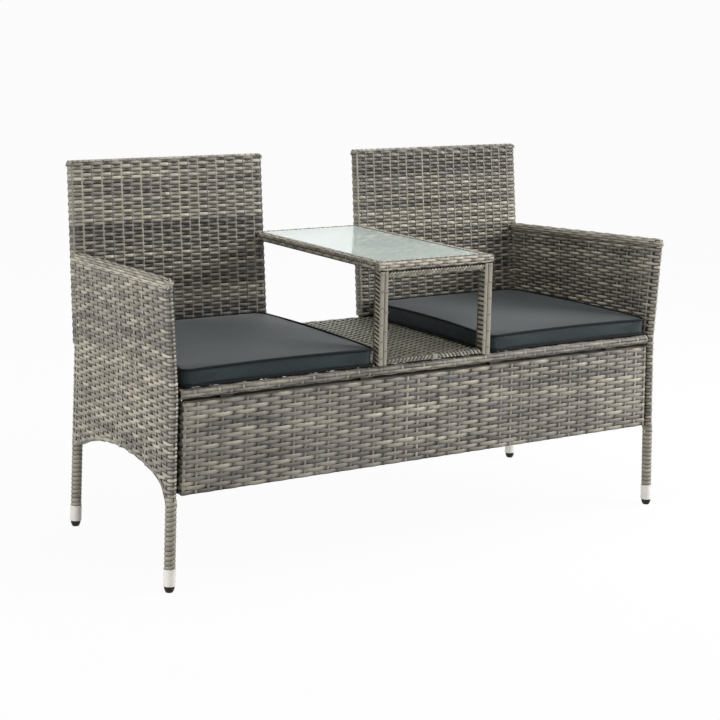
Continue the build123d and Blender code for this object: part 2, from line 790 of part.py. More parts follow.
with BuildPart() as seat_deck:
    with BuildSketch(Plane.XY.offset(deck_low_z)):
        with BuildLine():
            front_x = seat_edge_x(deck_front_y) - seat_side_gap
            rear_x = seat_edge_x(deck_rear_y) - seat_side_gap
            Polyline(
                (-front_x, deck_front_y),
                (front_x, deck_front_y),
                (rear_x, deck_rear_y),
                (-rear_x, deck_rear_y),
                close=True,
            )
        make_face()
    extrude(amount=weave_t)
finish(seat_deck, "seat_deck")

with BuildPart() as seat_bolts:
    for _, side in SIDES:
        for run in seat_bolt_runs:
            head, tip = seat_bolt_axis(side, run)
            tube(head, tip, bolt_d)
            tube(along(head, tip, -bolt_head_h), head, bolt_head_d)
finish(seat_bolts, "seat_bolts")


# Coffee table: a rim wound over a welded U that the inner posts carry, and a
# front leg loop wound over a welded rectangle that stands on the seat's front rail
with BuildPart() as table_frame:
    rim_core_bars(0)
    rear_core_bar(0)
    cut_inner_posts()
    drill_loop_bolts()
finish(table_frame, "table_frame")

with BuildPart() as table_rim_front:
    block((-table_half_w, table_front_y, rim_bottom_z), (table_half_w, rim_side_y, table_top_z))
    corner_edges = table_rim_front.edges().filter_by(Axis.Z).group_by(Axis.Y)[0]
    fillet(corner_edges, rim_edge_radius)
    front_edges = table_rim_front.faces().sort_by(Axis.Y)[0].edges().filter_by(Axis.X)
    fillet(front_edges, rim_edge_radius)
    block(
        (-rim_side_in, table_front_y + rim_front_lip, ledge_z),
        (rim_side_in, rim_side_y, table_top_z),
        Mode.SUBTRACT,
    )
    rim_core_bars(fit_gap, Mode.SUBTRACT)
    drill_loop_bolts()
finish(table_rim_front, "table_rim_front")

for name, side in SIDES:
    with BuildPart() as table_rim_side:
        with BuildSketch(Plane(origin=(0, rim_side_y + fit_gap, 0), x_dir=(1, 0, 0), z_dir=(0, -1, 0))):
            with BuildLine():
                Polyline(
                    (side * table_half_w, rim_bottom_z),
                    (side * table_half_w, table_top_z),
                    (side * rim_side_in, table_top_z),
                    (side * rim_side_in, ledge_z),
                    (side * (rim_side_in - rim_ledge), ledge_z),
                    (side * (rim_side_in - rim_ledge), rim_bottom_z),
                    close=True,
                )
            make_face()
        extrude(amount=rim_side_y + 2 * fit_gap - rear_ledge_y)
        outer_face = table_rim_side.faces().sort_by(Axis.X)[0 if side < 0 else -1]
        fillet(outer_face.edges().filter_by(Axis.Y), rim_edge_radius)
        cut_back(side)
        rim_core_bars(fit_gap, Mode.SUBTRACT)
    finish(table_rim_side, f"table_rim_{name}")

with BuildPart() as table_rim_rear:
    rear_half = back_inner_x - fit_gap
    lip_y = table_rear_y - rim_rear_lip
    block((-rear_half, lip_y, rim_bottom_z), (rear_half, table_rear_y, table_top_z))
    block((-rear_half, rear_ledge_y, rim_bottom_z), (rear_half, lip_y, ledge_z))
    rear_core_bar(fit_gap, Mode.SUBTRACT)
    rim_core_bars(fit_gap, Mode.SUBTRACT)
finish(table_rim_rear, "table_rim_rear")

with BuildPart() as table_leg_frame:
    loop_core_ring(0)
    drill_loop_bolts()
finish(table_leg_frame, "table_leg_frame")

loop_low_y = loop_mid_y - loop_depth / 2
loop_high_y = loop_mid_y + loop_depth / 2
loop_inner = loop_half_w - loop_post_w
for name, side in SIDES:
    with BuildPart() as table_leg:
        inner_x, outer_x = sorted((side * loop_inner, side * loop_half_w))
        block((inner_x, loop_low_y, loop_bottom_z), (outer_x, loop_high_y, loop_top_z))
        fillet(table_leg.edges().filter_by(Axis.Z), loop_edge_radius)
        loop_core_ring(fit_gap, Mode.SUBTRACT)
    finish(table_leg, f"table_leg_{name}")

bar_end = loop_inner - fit_gap
for place, low_z in (("top", loop_top_z - loop_bar_h), ("foot", loop_bottom_z)):
    with BuildPart() as table_leg_bar:
        block((-bar_end, loop_low_y, low_z), (bar_end, loop_high_y, low_z + loop_bar_h))
        fillet(table_leg_bar.edges().filter_by(Axis.X), loop_edge_radius)
        loop_core_ring(fit_gap, Mode.SUBTRACT)
        drill_loop_bolts()
    finish(table_leg_bar, f"table_leg_{place}_bar")

with BuildPart() as table_bolts:
    loop_bolts(0)
finish(table_bolts, "table_bolts")

# Glass: a tempered sheet that lies on clear pads in the rim and lifts off
glass_half_w = min(rim_side_in, back_inner_x) - glass_side_gap
glass_front_y = table_front_y + rim_front_lip + glass_side_gap
glass_rear_y = table_rear_y - rim_rear_lip - glass_side_gap
with BuildPart() as glass_top:
    block((-glass_half_w, glass_front_y, ledge_z + pad_t), (glass_half_w, glass_rear_y, glass_top_z))
    fillet(glass_top.edges().filter_by(Axis.Z), glass_corner_radius)
    chamfer(glass_top.faces().sort_by(Axis.Z)[-1].edges(), glass_edge_chamfer)
finish(glass_top, "glass_top")

with BuildPart() as glass_pads:
    pad_x = rim_side_in - rim_ledge / 2
    pad_front_y = rim_side_y + rim_ledge
    pad_mid_y = (pad_front_y + front_y + seat_depth / 2) / 2
    pad_rear_y = front_y + seat_depth - panel_t
    with BuildSketch(Plane.XY.offset(ledge_z)):
        with Locations(*[(x, y) for x in (-pad_x, pad_x) for y in (pad_front_y, pad_mid_y, pad_rear_y)]):
            Circle(pad_d / 2)
    extrude(amount=pad_t)
finish(glass_pads, "glass_pads")


# Seat cushions: boxed pads with a crowned top and sides that draw in between
# their rounded corners
cushion_low_z = seat_top_z + fit_gap
cushion_inner_x = table_half_w + cushion_table_gap
cushion_front_y = front_y - rail_wrap_d / 2 + cushion_front_set
cushion_rear_y = back_point(0, back_bottom).Y - panel_t / 2 / cos(lean) - cushion_gap
cushion_inset = cushion_draw_in / 2


def cushion_outline(side, inset, z):
    """Cushion's outline at a height: four sides bowed inwards between rounded corners."""
    in_x = cushion_inner_x + inset
    front_x = seat_edge_x(cushion_front_y) - cushion_gap - inset
    rear_x = seat_edge_x(cushion_rear_y) - cushion_gap - post_draw_in - inset
    front = cushion_front_y + inset
    rear = cushion_rear_y - inset
    corners = [
        Vector(side * in_x, front),
        Vector(side * front_x, front),
        Vector(side * rear_x, rear),
        Vector(side * in_x, rear),
    ]
    middle = (corners[0] + corners[1] + corners[2] + corners[3]) / 4
    with BuildSketch(Plane.XY.offset(z)) as outline:
        with BuildLine():
            for start, end in zip(corners, corners[1:] + corners[:1]):
                half = (start + end) / 2
                square = (end - start).cross(Vector(0, 0, 1)).normalized()
                square = square if square.dot(middle - half) > 0 else -square
                ThreePointArc(start, half + square * cushion_draw_in, end)
        make_face()
        fillet(outline.vertices(), max(cushion_corner_radius - inset / 2, cushion_corner_radius / 2))
    return outline.sketch


top_edge_z = cushion_low_z + cushion_edge_h
for name, side in SIDES:
    with BuildPart() as seat_cushion:
        loft(
            [
                cushion_outline(side, cushion_edge_round, cushion_low_z),
                cushion_outline(side, 0, cushion_low_z + cushion_edge_round),
                cushion_outline(side, cushion_inset, cushion_low_z + cushion_edge_h / 2),
                cushion_outline(side, 0, top_edge_z - cushion_edge_round),
                cushion_outline(side, cushion_edge_round, top_edge_z),
            ]
        )
        loft(
            [
                cushion_outline(side, cushion_edge_round, top_edge_z),
                cushion_outline(side, cushion_crown_run * 0.4, top_edge_z + cushion_crown * 0.66),
                cushion_outline(side, cushion_crown_run, top_edge_z + cushion_crown),
            ]
        )
    finish(seat_cushion, f"seat_cushion_{name}")
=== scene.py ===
import json

import bpy
import numpy as np
from mathutils import Matrix


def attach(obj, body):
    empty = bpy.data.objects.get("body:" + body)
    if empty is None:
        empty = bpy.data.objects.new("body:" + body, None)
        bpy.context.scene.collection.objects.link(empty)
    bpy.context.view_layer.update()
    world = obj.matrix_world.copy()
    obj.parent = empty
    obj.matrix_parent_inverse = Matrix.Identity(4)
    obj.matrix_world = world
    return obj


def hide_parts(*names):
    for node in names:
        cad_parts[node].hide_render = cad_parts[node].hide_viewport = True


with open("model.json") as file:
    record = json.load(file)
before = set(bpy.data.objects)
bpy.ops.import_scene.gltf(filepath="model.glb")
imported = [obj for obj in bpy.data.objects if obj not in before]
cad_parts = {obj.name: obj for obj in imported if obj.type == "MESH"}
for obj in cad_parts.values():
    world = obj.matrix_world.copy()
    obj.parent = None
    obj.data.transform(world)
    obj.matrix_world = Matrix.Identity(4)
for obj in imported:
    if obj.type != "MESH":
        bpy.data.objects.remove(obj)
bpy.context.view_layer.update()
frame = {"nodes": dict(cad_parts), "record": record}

# Backrests. Each is a sheath of flat polyethylene strand, drawn tight round the welded tubes of the back: rows of
# weavers that bulge and dip from column to column, and pale and dark cords in turn that run up between the columns.
# Plain strands close it above and below, a dark sheet of painted shade lies inside it, and a black strip of
# painted shade fills the gap over the seat.
mm = 0.001
rear_y = 236.924 * mm
knee_z = 415.7 * mm
lean = np.radians(5.2)
back_low = 13.93 * mm
back_high = 426.98 * mm
back_inner_x = 132 * mm
back_foot_x = 634.5 * mm
back_draw = 7.5 * mm
back_half_t = 14 * mm
back_edge_radius = 8 * mm
back_half_w = 247 * mm
back_rows = 48
back_stakes = 42
cap_rows = 4
cap_joints = 52
shade_z = 427.5 * mm
skin = 2.0 * mm


def linear(hex_colour):
    """sRGB hex to linear: below 0.04045 a straight line, above it the 2.4 power."""
    c = np.array([int(hex_colour[i:i + 2], 16) for i in (1, 3, 5)]) / 255
    return (*np.where(c <= 0.04045, c / 12.92, ((c + 0.055) / 1.055) ** 2.4).tolist(), 1.0)


def add(tree, kind, inputs, **settings):
    """Adds a shader node with its settings, and fills each named input with a value or a link."""
    made = tree.nodes.new(kind)
    for name, value in settings.items():
        setattr(made, name, value)
    for name, value in inputs.items():
        if isinstance(value, bpy.types.NodeSocket):
            tree.links.new(value, made.inputs[name])
        else:
            made.inputs[name].default_value = value
    return made


def finish_named(name):
    """A new material with the plain shader that Blender gives it."""
    made = bpy.data.materials.new(name)
    made.use_nodes = True
    return made, made.node_tree, made.node_tree.nodes["Principled BSDF"]


# Polyethylene rattan strand, extruded flat with a crowned face. Its colour drifts from dark taupe through grey to
# straw along the length, fine lengthwise scores catch the light, and the surface is matt with a faint waxy gloss.
rattan, tree, shader = finish_named("extruded_pe_rattan")
tone = add(tree, "ShaderNodeAttribute", {}, attribute_name="tone")
shades = add(tree, "ShaderNodeValToRGB", {"Fac": tone.outputs["Fac"]})
# Tone 0, the darkest stop, is painted shade: the dark sheets under the weave and the black strips in its gaps.
stops = [(0.0, "#14110f"), (0.1, "#46413b"), (0.35, "#787268"), (0.6, "#958f81"), (0.82, "#b1aa98"), (1.0, "#ccc5b4")]
while len(shades.color_ramp.elements) < len(stops):
    shades.color_ramp.elements.new(0.5)
for element, (place, colour) in zip(shades.color_ramp.elements, stops):
    element.position = place
    element.color = linear(colour)
uv = add(tree, "ShaderNodeUVMap", {}, uv_map="strand")
along_25mm = add(tree, "ShaderNodeMapping", {"Vector": uv.outputs["UV"], "Scale": (40, 5, 1)})
scores = add(tree, "ShaderNodeTexNoise", {"Vector": along_25mm.outputs["Vector"], "Scale": 1.0, "Detail": 3.0})
along_200mm = add(tree, "ShaderNodeMapping", {"Vector": uv.outputs["UV"], "Scale": (5, 0.4, 1)})
dyes = add(tree, "ShaderNodeTexNoise", {"Vector": along_200mm.outputs["Vector"], "Scale": 1.0, "Detail": 1.0})
dye_step = add(tree, "ShaderNodeMapRange", {"Value": dyes.outputs["Fac"], "From Min": 0.42, "From Max": 0.62,
                                            "To Min": 0.0, "To Max": 0.42})
mauve = add(tree, "ShaderNodeMix", {0: dye_step.outputs["Result"], 6: shades.outputs["Color"], 7: linear("#767172")},
            data_type="RGBA")
scored = add(tree, "ShaderNodeMix", {0: 0.55, 6: mauve.outputs[2], 7: scores.outputs["Fac"]},
             data_type="RGBA", blend_type="SOFT_LIGHT")
tree.links.new(scored.outputs[2], shader.inputs["Base Color"])
relief = add(tree, "ShaderNodeBump", {"Height": scores.outputs["Fac"], "Strength": 0.35, "Distance": 0.4 * mm})
tree.links.new(relief.outputs["Normal"], shader.inputs["Normal"])
gloss = add(tree, "ShaderNodeMapRange", {"Value": scores.outputs["Fac"], "From Min": 0.3, "From Max": 0.7,
                                         "To Min": 0.4, "To Max": 0.58})
tree.links.new(gloss.outputs["Result"], shader.inputs["Roughness"])
shader.inputs["Specular IOR Level"].default_value = 0.48


def box_loop(turn, half_x, half_y, radius):
    """Rounded rectangle, counter-clockwise from the middle of its lower side. The corner circle's centre and the
    way it faces both run straight from knot to knot, so that turn goes round at an even speed from 0 to 1."""
    a, b, c = half_x - radius, half_y - radius, radius * np.pi / 2
    knots = np.cumsum([0, a, c, 2 * b, c, 2 * a, c, 2 * b, c, a])
    place = np.mod(turn, 1.0) * knots[-1]
    faces = np.interp(place, knots, np.radians([-90, -90, 0, 0, 90, 90, 180, 180, 270, 270]))
    out = np.stack([np.cos(faces), np.sin(faces)], -1)
    middle = np.stack([np.interp(place, knots, [0, a, a, a, a, -a, -a, -a, -a, 0]),
                       np.interp(place, knots, [-b, -b, -b, b, b, b, b, -b, -b, -b])], -1)
    return middle + radius * out, out


def cap_profile(share, half_t, radius, skirt):
    """Upside-down U over an edge: up one skirt, round a corner, across, round and down, at an even speed. Gives the
    place across and above the crest, and the way that it faces."""
    a, c = half_t - radius, radius * np.pi / 2
    knots = np.cumsum([0, skirt, c, 2 * a, c, skirt])
    place = share * knots[-1]
    faces = np.interp(place, knots, np.radians([180, 180, 90, 90, 0, 0]))
    across = np.interp(place, knots, [-a, -a, -a, a, a, a]) + radius * np.cos(faces)
    above = np.interp(place, knots, [-radius - skirt, -radius, -radius, -radius, -radius, -radius - skirt])
    return across, above + radius * np.sin(faces), np.cos(faces), np.sin(faces)


# Places across a strand from its lower edge to its upper one, and the painted light and shade that each of them
# takes: a tone shift, darker at the lower edge and lighter above the middle, that stands in for light from above.
strand_offsets = (-0.5, -0.34, 0.0, 0.34, 0.5)
strand_painted_light = (-0.4, -0.14, 0.06, 0.18, 0.04)


def strips(centre, out, width, crown, offsets=strand_offsets):
    """Flat strands along rows of centre points: the way across is the outward way crossed with the row's own way,
    and the strand falls off its crown with the third power of the distance from its middle."""
    sideways = np.cross(out, np.gradient(centre, axis=1))
    sideways /= np.maximum(np.linalg.norm(sideways, axis=-1, keepdims=True), 1e-12)
    k = np.array(offsets)
    width = np.broadcast_to(width, centre.shape[:2])[..., None, None]
    fall = crown * (2 * np.abs(k)) ** 3
    return centre[:, :, None] + sideways[:, :, None] * k[:, None] * width - out[:, :, None] * fall[:, None]


def length_along(centre):
    """Running length of each row of points, from its first one."""
    steps = np.linalg.norm(np.diff(centre, axis=1), axis=-1)
    return np.concatenate([np.zeros((len(centre), 1)), np.cumsum(steps, axis=1)], axis=1)


def drift(run, seed, patch, spread, middle=0.5, bands=0.14):
    """Tone along each strand, from dark 0 to light 1: a random value at every patch length, joined by smooth steps,
    spread about a middle tone, and a slower change from strand to strand."""
    rng = np.random.default_rng(seed)
    place = run / patch + rng.random((len(run), 1))
    cell = place.astype(int)
    knots = rng.random((len(run), cell.max() + 2))
    step = place - cell
    step = step * step * (3 - 2 * step)
    rows = np.arange(len(run))[:, None]
    tone = knots[rows, cell] * (1 - step) + knots[rows, cell + 1] * step
    slow = np.convolve(rng.normal(0, bands, len(run) + 2), (0.2, 0.6, 0.2), "valid")[:, None]
    return np.clip(middle + spread * (tone - 0.5) + slow, 0.12, 1.0)


def between(kept, place):
    """Which steps along each row of points have both their ends kept."""
    if kept is None:
        return None
    ok = kept(place)
    return ok[:, :-1] & ok[:, 1:]


def shade_sheet_of(surface, rows, stakes, depth, kept=None):
    """Dark sheet of painted shade inside a woven skin, in the darkest tone: the same surface, sunk by a depth, in
    quads of half a stake by one row.
    """
    number = np.linspace(0, stakes, stakes * 2 + 1)[:, None]
    place, out, size = surface(*np.broadcast_arrays(number, np.linspace(0, rows, rows + 1)[None, :]))
    inner = place - out * (depth * size)[..., None]
    ok = between(kept, place)
    none = np.zeros((1, len(number)))
    return inner[None], none, none, None if ok is None else (ok[:-1] & ok[1:])[None]


def weave(surface, rows, stakes, seed, closed=True, kept=None, fine=6, lift=2.6 * mm, width=7.9 * mm,
          stake_width=4.6 * mm, stake_at=0.0, rise=0.3 * mm, stake_tone=(0.52, 0.3), shade_sheet=4.4 * mm, patch=60 * mm,
          spread=0.6, middle=0.54, bands=0.14, calm=None, crown=2.0 * mm, dip_shade=0.15, weak=1.0,
          offsets=strand_offsets):
    """Over-one, under-one weave on a surface that takes a stake number and a row number; a closed one starts half a
    stake round. A weaver's height is a clipped triangle wave mixed with a cosine: its crests lie on every second
    whole number, shifted by one from row to row, and the odd columns may rise and dip less. Its tone is darkened
    where it dips, as painted shade, and every strand carries painted light and shade across it, darker along its
    lower edge and lighter over its upper half. Stakes stand at a set share of the pitch and sway the other way, and a
    dark sheet of painted shade lies under both."""
    shift = 0.5 if closed else 0.0
    number = np.linspace(0, stakes, stakes * fine + 1)[None, :]
    row = np.arange(rows)[:, None] + 0.5
    place, out, size = surface(*np.broadcast_arrays(number + shift, row))
    phase = number + row - 0.5
    slope = 1 - 2 * np.abs(np.mod(phase + 1, 2) - 1)
    wave = 0.6 * np.clip(1.5 * slope, -1, 1) + 0.4 * np.cos(np.pi * phase)
    wave = wave * np.where(np.mod(np.round(number), 2) == 0, 1.0, weak)
    if calm is not None:
        wave = wave * calm(number + shift)
    high = lift * wave * size
    run = length_along(place)
    # Painted shade: the tone darkens where the weaver dips.
    tones = drift(run, seed, patch, spread, middle, bands) + dip_shade * np.minimum(wave, 0)
    # Painted light and shade across each strand: darker at its lower edge, lighter above its middle.
    tones = np.clip(tones[..., None] + np.interp(offsets, strand_offsets, strand_painted_light), 0.08, 1.0)
    weavers = strips(place + out * high[..., None], out, width * size, crown, offsets)
    bundles = [(weavers, run, tones, between(kept, place))]
    post = np.arange(stakes + (0 if closed else 1))[:, None] + stake_at
    height = np.linspace(0, rows, 2 * rows + 1)[None, :]
    place, out, size = surface(*np.broadcast_arrays(post + shift, height))
    high = (rise - 0.3 * lift * np.cos(np.pi * (post + height - 0.5))) * size
    run = length_along(place)
    tone = np.clip(np.random.default_rng(seed + 1).normal(*stake_tone, (len(run), 1)), 0.1, 0.85)
    cords = strips(place + out * high[..., None], out, stake_width * size, 1.5 * mm, offsets)
    bundles.append((cords, run, np.broadcast_to(tone, run.shape), between(kept, place)))
    if shade_sheet:
        bundles.append(shade_sheet_of(surface, rows, stakes, shade_sheet, kept))
    return bundles


def put(name, data):
    """A new object at the scene's origin."""
    made = bpy.data.objects.new(name, data)
    bpy.context.scene.collection.objects.link(made)
    return made


def lay(name, bundles, nodes, mirror=False):
    """One rattan piece from bundles of strips. Each strip is a grid of points along and across it, and each quad
    joins four neighbours. The running length, begun 1.37 m further on for each strip so that no two look alike, and
    the place across become its UV map, and its tone an attribute."""
    points, quads, uvs, tones, used = [], [], [], [], 0
    for grid, run, tone, keep in bundles:
        rows, count, wide = grid.shape[:3]
        index = used + np.arange(rows * count * wide).reshape(rows, count, wide)
        faces = np.stack([index[:, :-1, :-1], index[:, 1:, :-1], index[:, 1:, 1:], index[:, :-1, 1:]], -1)
        quads.append((faces if keep is None else faces[keep]).reshape(-1, 4))
        points.append(grid.reshape(-1, 3))
        across = np.broadcast_to(np.linspace(0, 1, wide), (rows, count, wide))
        length = run[..., None] + np.arange(rows)[:, None, None] * 1.37
        uvs.append(np.stack([np.broadcast_to(length, across.shape), across], -1).reshape(-1, 2))
        tones.append(np.broadcast_to(tone if tone.ndim == 3 else tone[..., None], across.shape).ravel())
        used += rows * count * wide
    points, quads, uvs, tones = (np.concatenate(part) for part in (points, quads, uvs, tones))
    if mirror:
        points = points * (-1, 1, 1)
        quads = quads[:, ::-1]
    wanted, quads = np.unique(quads, return_inverse=True)
    quads = quads.reshape(-1, 4)
    mesh = bpy.data.meshes.new(name)
    mesh.vertices.add(len(wanted))
    mesh.vertices.foreach_set("co", points[wanted].astype(np.float32).ravel())
    mesh.loops.add(quads.size)
    mesh.loops.foreach_set("vertex_index", quads.astype(np.int32).ravel())
    mesh.polygons.add(len(quads))
    mesh.polygons.foreach_set("loop_start", np.arange(0, quads.size, 4, dtype=np.int32))
    mesh.polygons.foreach_set("use_smooth", np.ones(len(quads), bool))
    mesh.uv_layers.new(name="strand").data.foreach_set("uv", uvs[wanted][quads.ravel()].astype(np.float32).ravel())
    mesh.attributes.new("tone", "FLOAT", "POINT").data.foreach_set("value", tones[wanted].astype(np.float32))
    mesh.update(calc_edges=True)
    mesh.validate()
    mesh.materials.append(rattan)
    piece = put(name, mesh)
    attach(piece, "bench")
    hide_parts(*nodes)


def back_place(x, depth, rise):
    """A point of the leaning back: depth is behind its middle plane, and rise is along its slope from the seat."""
    x, depth, rise = np.broadcast_arrays(x, depth, rise)
    return np.stack([x, rear_y + rise * np.sin(lean) + depth * np.cos(lean),
                     knee_z + rise * np.cos(lean) - depth * np.sin(lean)], -1)


def back_outer_x(rise):
    """The outer edge draws in evenly up the back."""
    return back_foot_x - back_draw * rise / back_high


def back_skin(stake, row):
    """Rounded rectangle round the back at each row, stretched to the back's width at that height."""
    top = back_high - 4.5 * mm
    rise = back_low + (top - back_low) * row / back_rows
    loop, face = box_loop(stake / back_stakes, back_half_w, back_half_t - skin, back_edge_radius - skin)
    inner = back_inner_x + skin
    x = inner + (back_outer_x(rise) - skin - inner) * (0.5 + loop[..., 0] / back_half_w / 2)
    way = np.stack([face[..., 0], face[..., 1] * np.cos(lean), -face[..., 1] * np.sin(lean)], -1)
    return back_place(x, loop[..., 1], rise), way, np.ones_like(x)


def edge_calm(number):
    """Share of the wave that is left: weavers lie flatter where they turn round the two ends of a flat loop, by a
    bell curve over the number of stakes from the end."""
    half = back_stakes / 2
    from_tip = np.abs(np.mod(number, half) - half / 2)
    return 1 - 0.8 * np.exp(-(from_tip / 0.9) ** 2)


def back_cap(stake, row):
    """Four strands side by side over the top rail. Joints lie closer towards the back's corners, where the strands'
    ends drop along a quarter circle."""
    inset, sunk = 0.4 * mm, 0.9 * mm
    across, above, face_y, face_z = cap_profile(row / cap_rows, back_half_t - 0.6 * mm, 4.0 * mm, 0.5 * mm)
    share = 0.55 * stake / cap_joints + 0.45 * (0.5 - 0.5 * np.cos(np.pi * stake / cap_joints))
    inner = back_inner_x + inset
    width = back_outer_x(back_high) - inset - inner
    in_end = np.clip(1 - np.minimum(share, 1 - share) * width / back_edge_radius, 0, 1)
    drop = back_edge_radius * (1 - np.sqrt(1 - in_end ** 2))
    tilt = np.where(share < 0.5, -1, 1) * in_end
    way = np.stack([tilt, face_y * np.cos(lean) + face_z * np.sin(lean),
                    face_z * np.cos(lean) - face_y * np.sin(lean)], -1)
    way /= np.linalg.norm(way, axis=-1, keepdims=True)
    return back_place(inner + width * share, across, back_high - sunk + above - drop), way, np.ones_like(share)


def flat_rows(ends, side, count, out, seed=None, tone=None):
    """Plain strands side by side from one end to the other, spread evenly across the given side with a slight
    overlap, in one tone or in one that drifts."""
    first, last = np.array(ends, float)
    share = (np.arange(count)[:, None, None] + 0.5) / count - 0.5
    centre = first + (last - first) * np.linspace(0, 1, 41)[None, :, None] + np.array(side) * share
    run = length_along(centre)
    width = np.linalg.norm(side) / count * 1.04
    way = np.broadcast_to(np.array(out, float), centre.shape)
    tones = drift(run, seed, 60 * mm, 0.7) if tone is None else np.full(run.shape, tone)
    return strips(centre, way, width, 0.9 * mm), run, tones, None


for side, seed, pale in (("left", 11, 0), ("right", 23, 1)):
    cords = np.where(np.arange(back_stakes) % 2 == pale, 0.74, 0.42)[:, None]
    bundles = weave(back_skin, back_rows, back_stakes, seed, calm=edge_calm, width=8.3 * mm, stake_width=4.0 * mm,
                    stake_at=0.5, rise=1.0 * mm, stake_tone=(cords, 0.08), weak=0.75, dip_shade=0.4, patch=120 * mm,
                    spread=0.35, middle=0.58, bands=0.3, lift=3.0 * mm, crown=2.5 * mm)
    bundles += weave(back_cap, cap_rows, cap_joints, seed + 5, closed=False, fine=4, lift=0.7 * mm, width=8.2 * mm,
                     stake_width=3.0 * mm, rise=-0.6 * mm, shade_sheet=2.2 * mm, patch=25 * mm, dip_shade=0.4)
    under = back_place(np.array([back_inner_x + 3 * mm, back_outer_x(back_low) - 3 * mm]), 0, back_low + 1 * mm)
    bundles.append(flat_rows(under, (0, 25 * mm, -2.3 * mm), 3, (0, -0.091, -0.996), seed + 7))
    # A black strip of painted shade in the gap between the back and the seat.
    shade = [(x, rear_y, shade_z) for x in (back_inner_x + 4 * mm, 620 * mm)]
    bundles.append(flat_rows(shade, (0, 0, 9 * mm), 1, (0, -1, 0), tone=0.0))
    lay("back_weave_" + side, bundles, ["back_panel_" + side], side == "left")

# Sides. Each is a double woven panel between its front leg tube and its rear post: the weavers go round both tubes
# and come back, flared at the arm and splayed at the foot, down to a rod bent into an arch along the lower edge.
front_y = -270.076 * mm
seat_depth = 507 * mm
foot_front_x = 656 * mm
foot_rear_x = 633.5 * mm
splay = 13 * mm
side_half_t = 12 * mm
side_low = 191 * mm
side_rows = 53
side_stakes = 42
arch_rows = 5
arch_joints = 22
arm_front = np.array([foot_front_x, front_y, 645 * mm])
arm_rear = np.array([616.83, 255.88, 624]) * mm


def leg_axes(z):
    """Middle lines of the front leg and the rear post at a height: straight from foot to knee and on from there."""
    front_toe, rear_toe = 6 * mm, 5.5 * mm
    post_rise = (z - knee_z) / np.cos(lean)
    low = np.clip(z / knee_z, 0, 1)
    high = np.clip((z - knee_z) / (arm_front[2] - knee_z), 0, 1)
    front_x = foot_front_x - splay * low + splay * high
    rear_x = foot_rear_x - splay * low - np.maximum(post_rise, 0) * back_draw / back_high
    rear_line = rear_y + np.where(z > knee_z, post_rise * np.sin(lean), rear_toe * (1 - low))
    return front_x, front_y - front_toe * (1 - low), rear_x, rear_line


def side_line(z):
    """Where the front leg's middle line is at a height, the way from there to the rear post's, and how far it is."""
    fx, fy, rx, ry = leg_axes(z)
    reach = np.hypot(rx - fx, ry - fy)
    return fx, fy, (rx - fx) / reach, (ry - fy) / reach, reach


def arch_height(run):
    """Lower edge over the length along the side: three arcs, level at the apex and tangent where they meet."""
    u = run / mm
    joint_at, apex_at, apex_z = 57, 215, 252
    front_r, middle_r, rear_r = 74.22, 666.45, 731.3
    front = 160.9 + np.sqrt(np.maximum(front_r ** 2 - (u - 74.6) ** 2, 0))
    middle = apex_z - middle_r + np.sqrt(middle_r ** 2 - (u - apex_at) ** 2)
    rear = apex_z - rear_r + np.sqrt(rear_r ** 2 - (u - apex_at) ** 2)
    return np.where(u < joint_at, front, np.where(u < apex_at, middle, rear)) * mm


def side_skin(stake, row):
    """Flat loop round both tubes at each row, fuller round the tubes than between them, most of all at the rear. Rows
    fan out evenly from the level lower end to the arm's slope, and the loop leans with the tubes' middle lines."""
    radius = side_half_t - 1.9 * mm
    half = 253.7 * mm
    first = side_low + 2 * mm
    loop, face = box_loop(stake / side_stakes, half + radius, radius, radius)
    full = np.where(loop[..., :1] > 0, 3.4, 1.4) * mm
    loop = loop + face * full * np.sqrt(np.clip((np.abs(loop[..., :1]) - half) / radius, 0, 1))
    share = np.clip(0.5 + loop[..., 0] / (2 * half), 0, 1)
    top = arm_front[2] - 10 * mm + (arm_rear[2] - arm_front[2]) * share
    z = first + (top - first) * row / side_rows
    fx, fy, ex, ey, reach = side_line(z)
    past = loop[..., 0] - np.clip(loop[..., 0], -half, half)
    along = share * reach + past
    x = fx + ex * along - ey * loop[..., 1]
    y = fy + ey * along + ex * loop[..., 1]
    way = np.stack([ex * face[..., 0] - ey * face[..., 1], ey * face[..., 0] + ex * face[..., 1],
                    np.zeros_like(x)], -1)
    return np.stack([x, y, z], -1), way, np.ones_like(x)


def side_kept(place):
    """True above the arch and in front of the back's front face. The way along the side is a thousandth longer than
    its depth."""
    y, z = place[..., 1], place[..., 2]
    _, fy, _, ry = leg_axes(z)
    run = np.clip(y - fy, 0, seat_depth) * 1.001
    back_face = ry - back_half_t / np.cos(lean) - 1.2 * mm
    clear = (z < knee_z + back_low + 2 * mm) | (y < back_face)
    return (z > arch_height(run) + 2.5 * mm) & clear


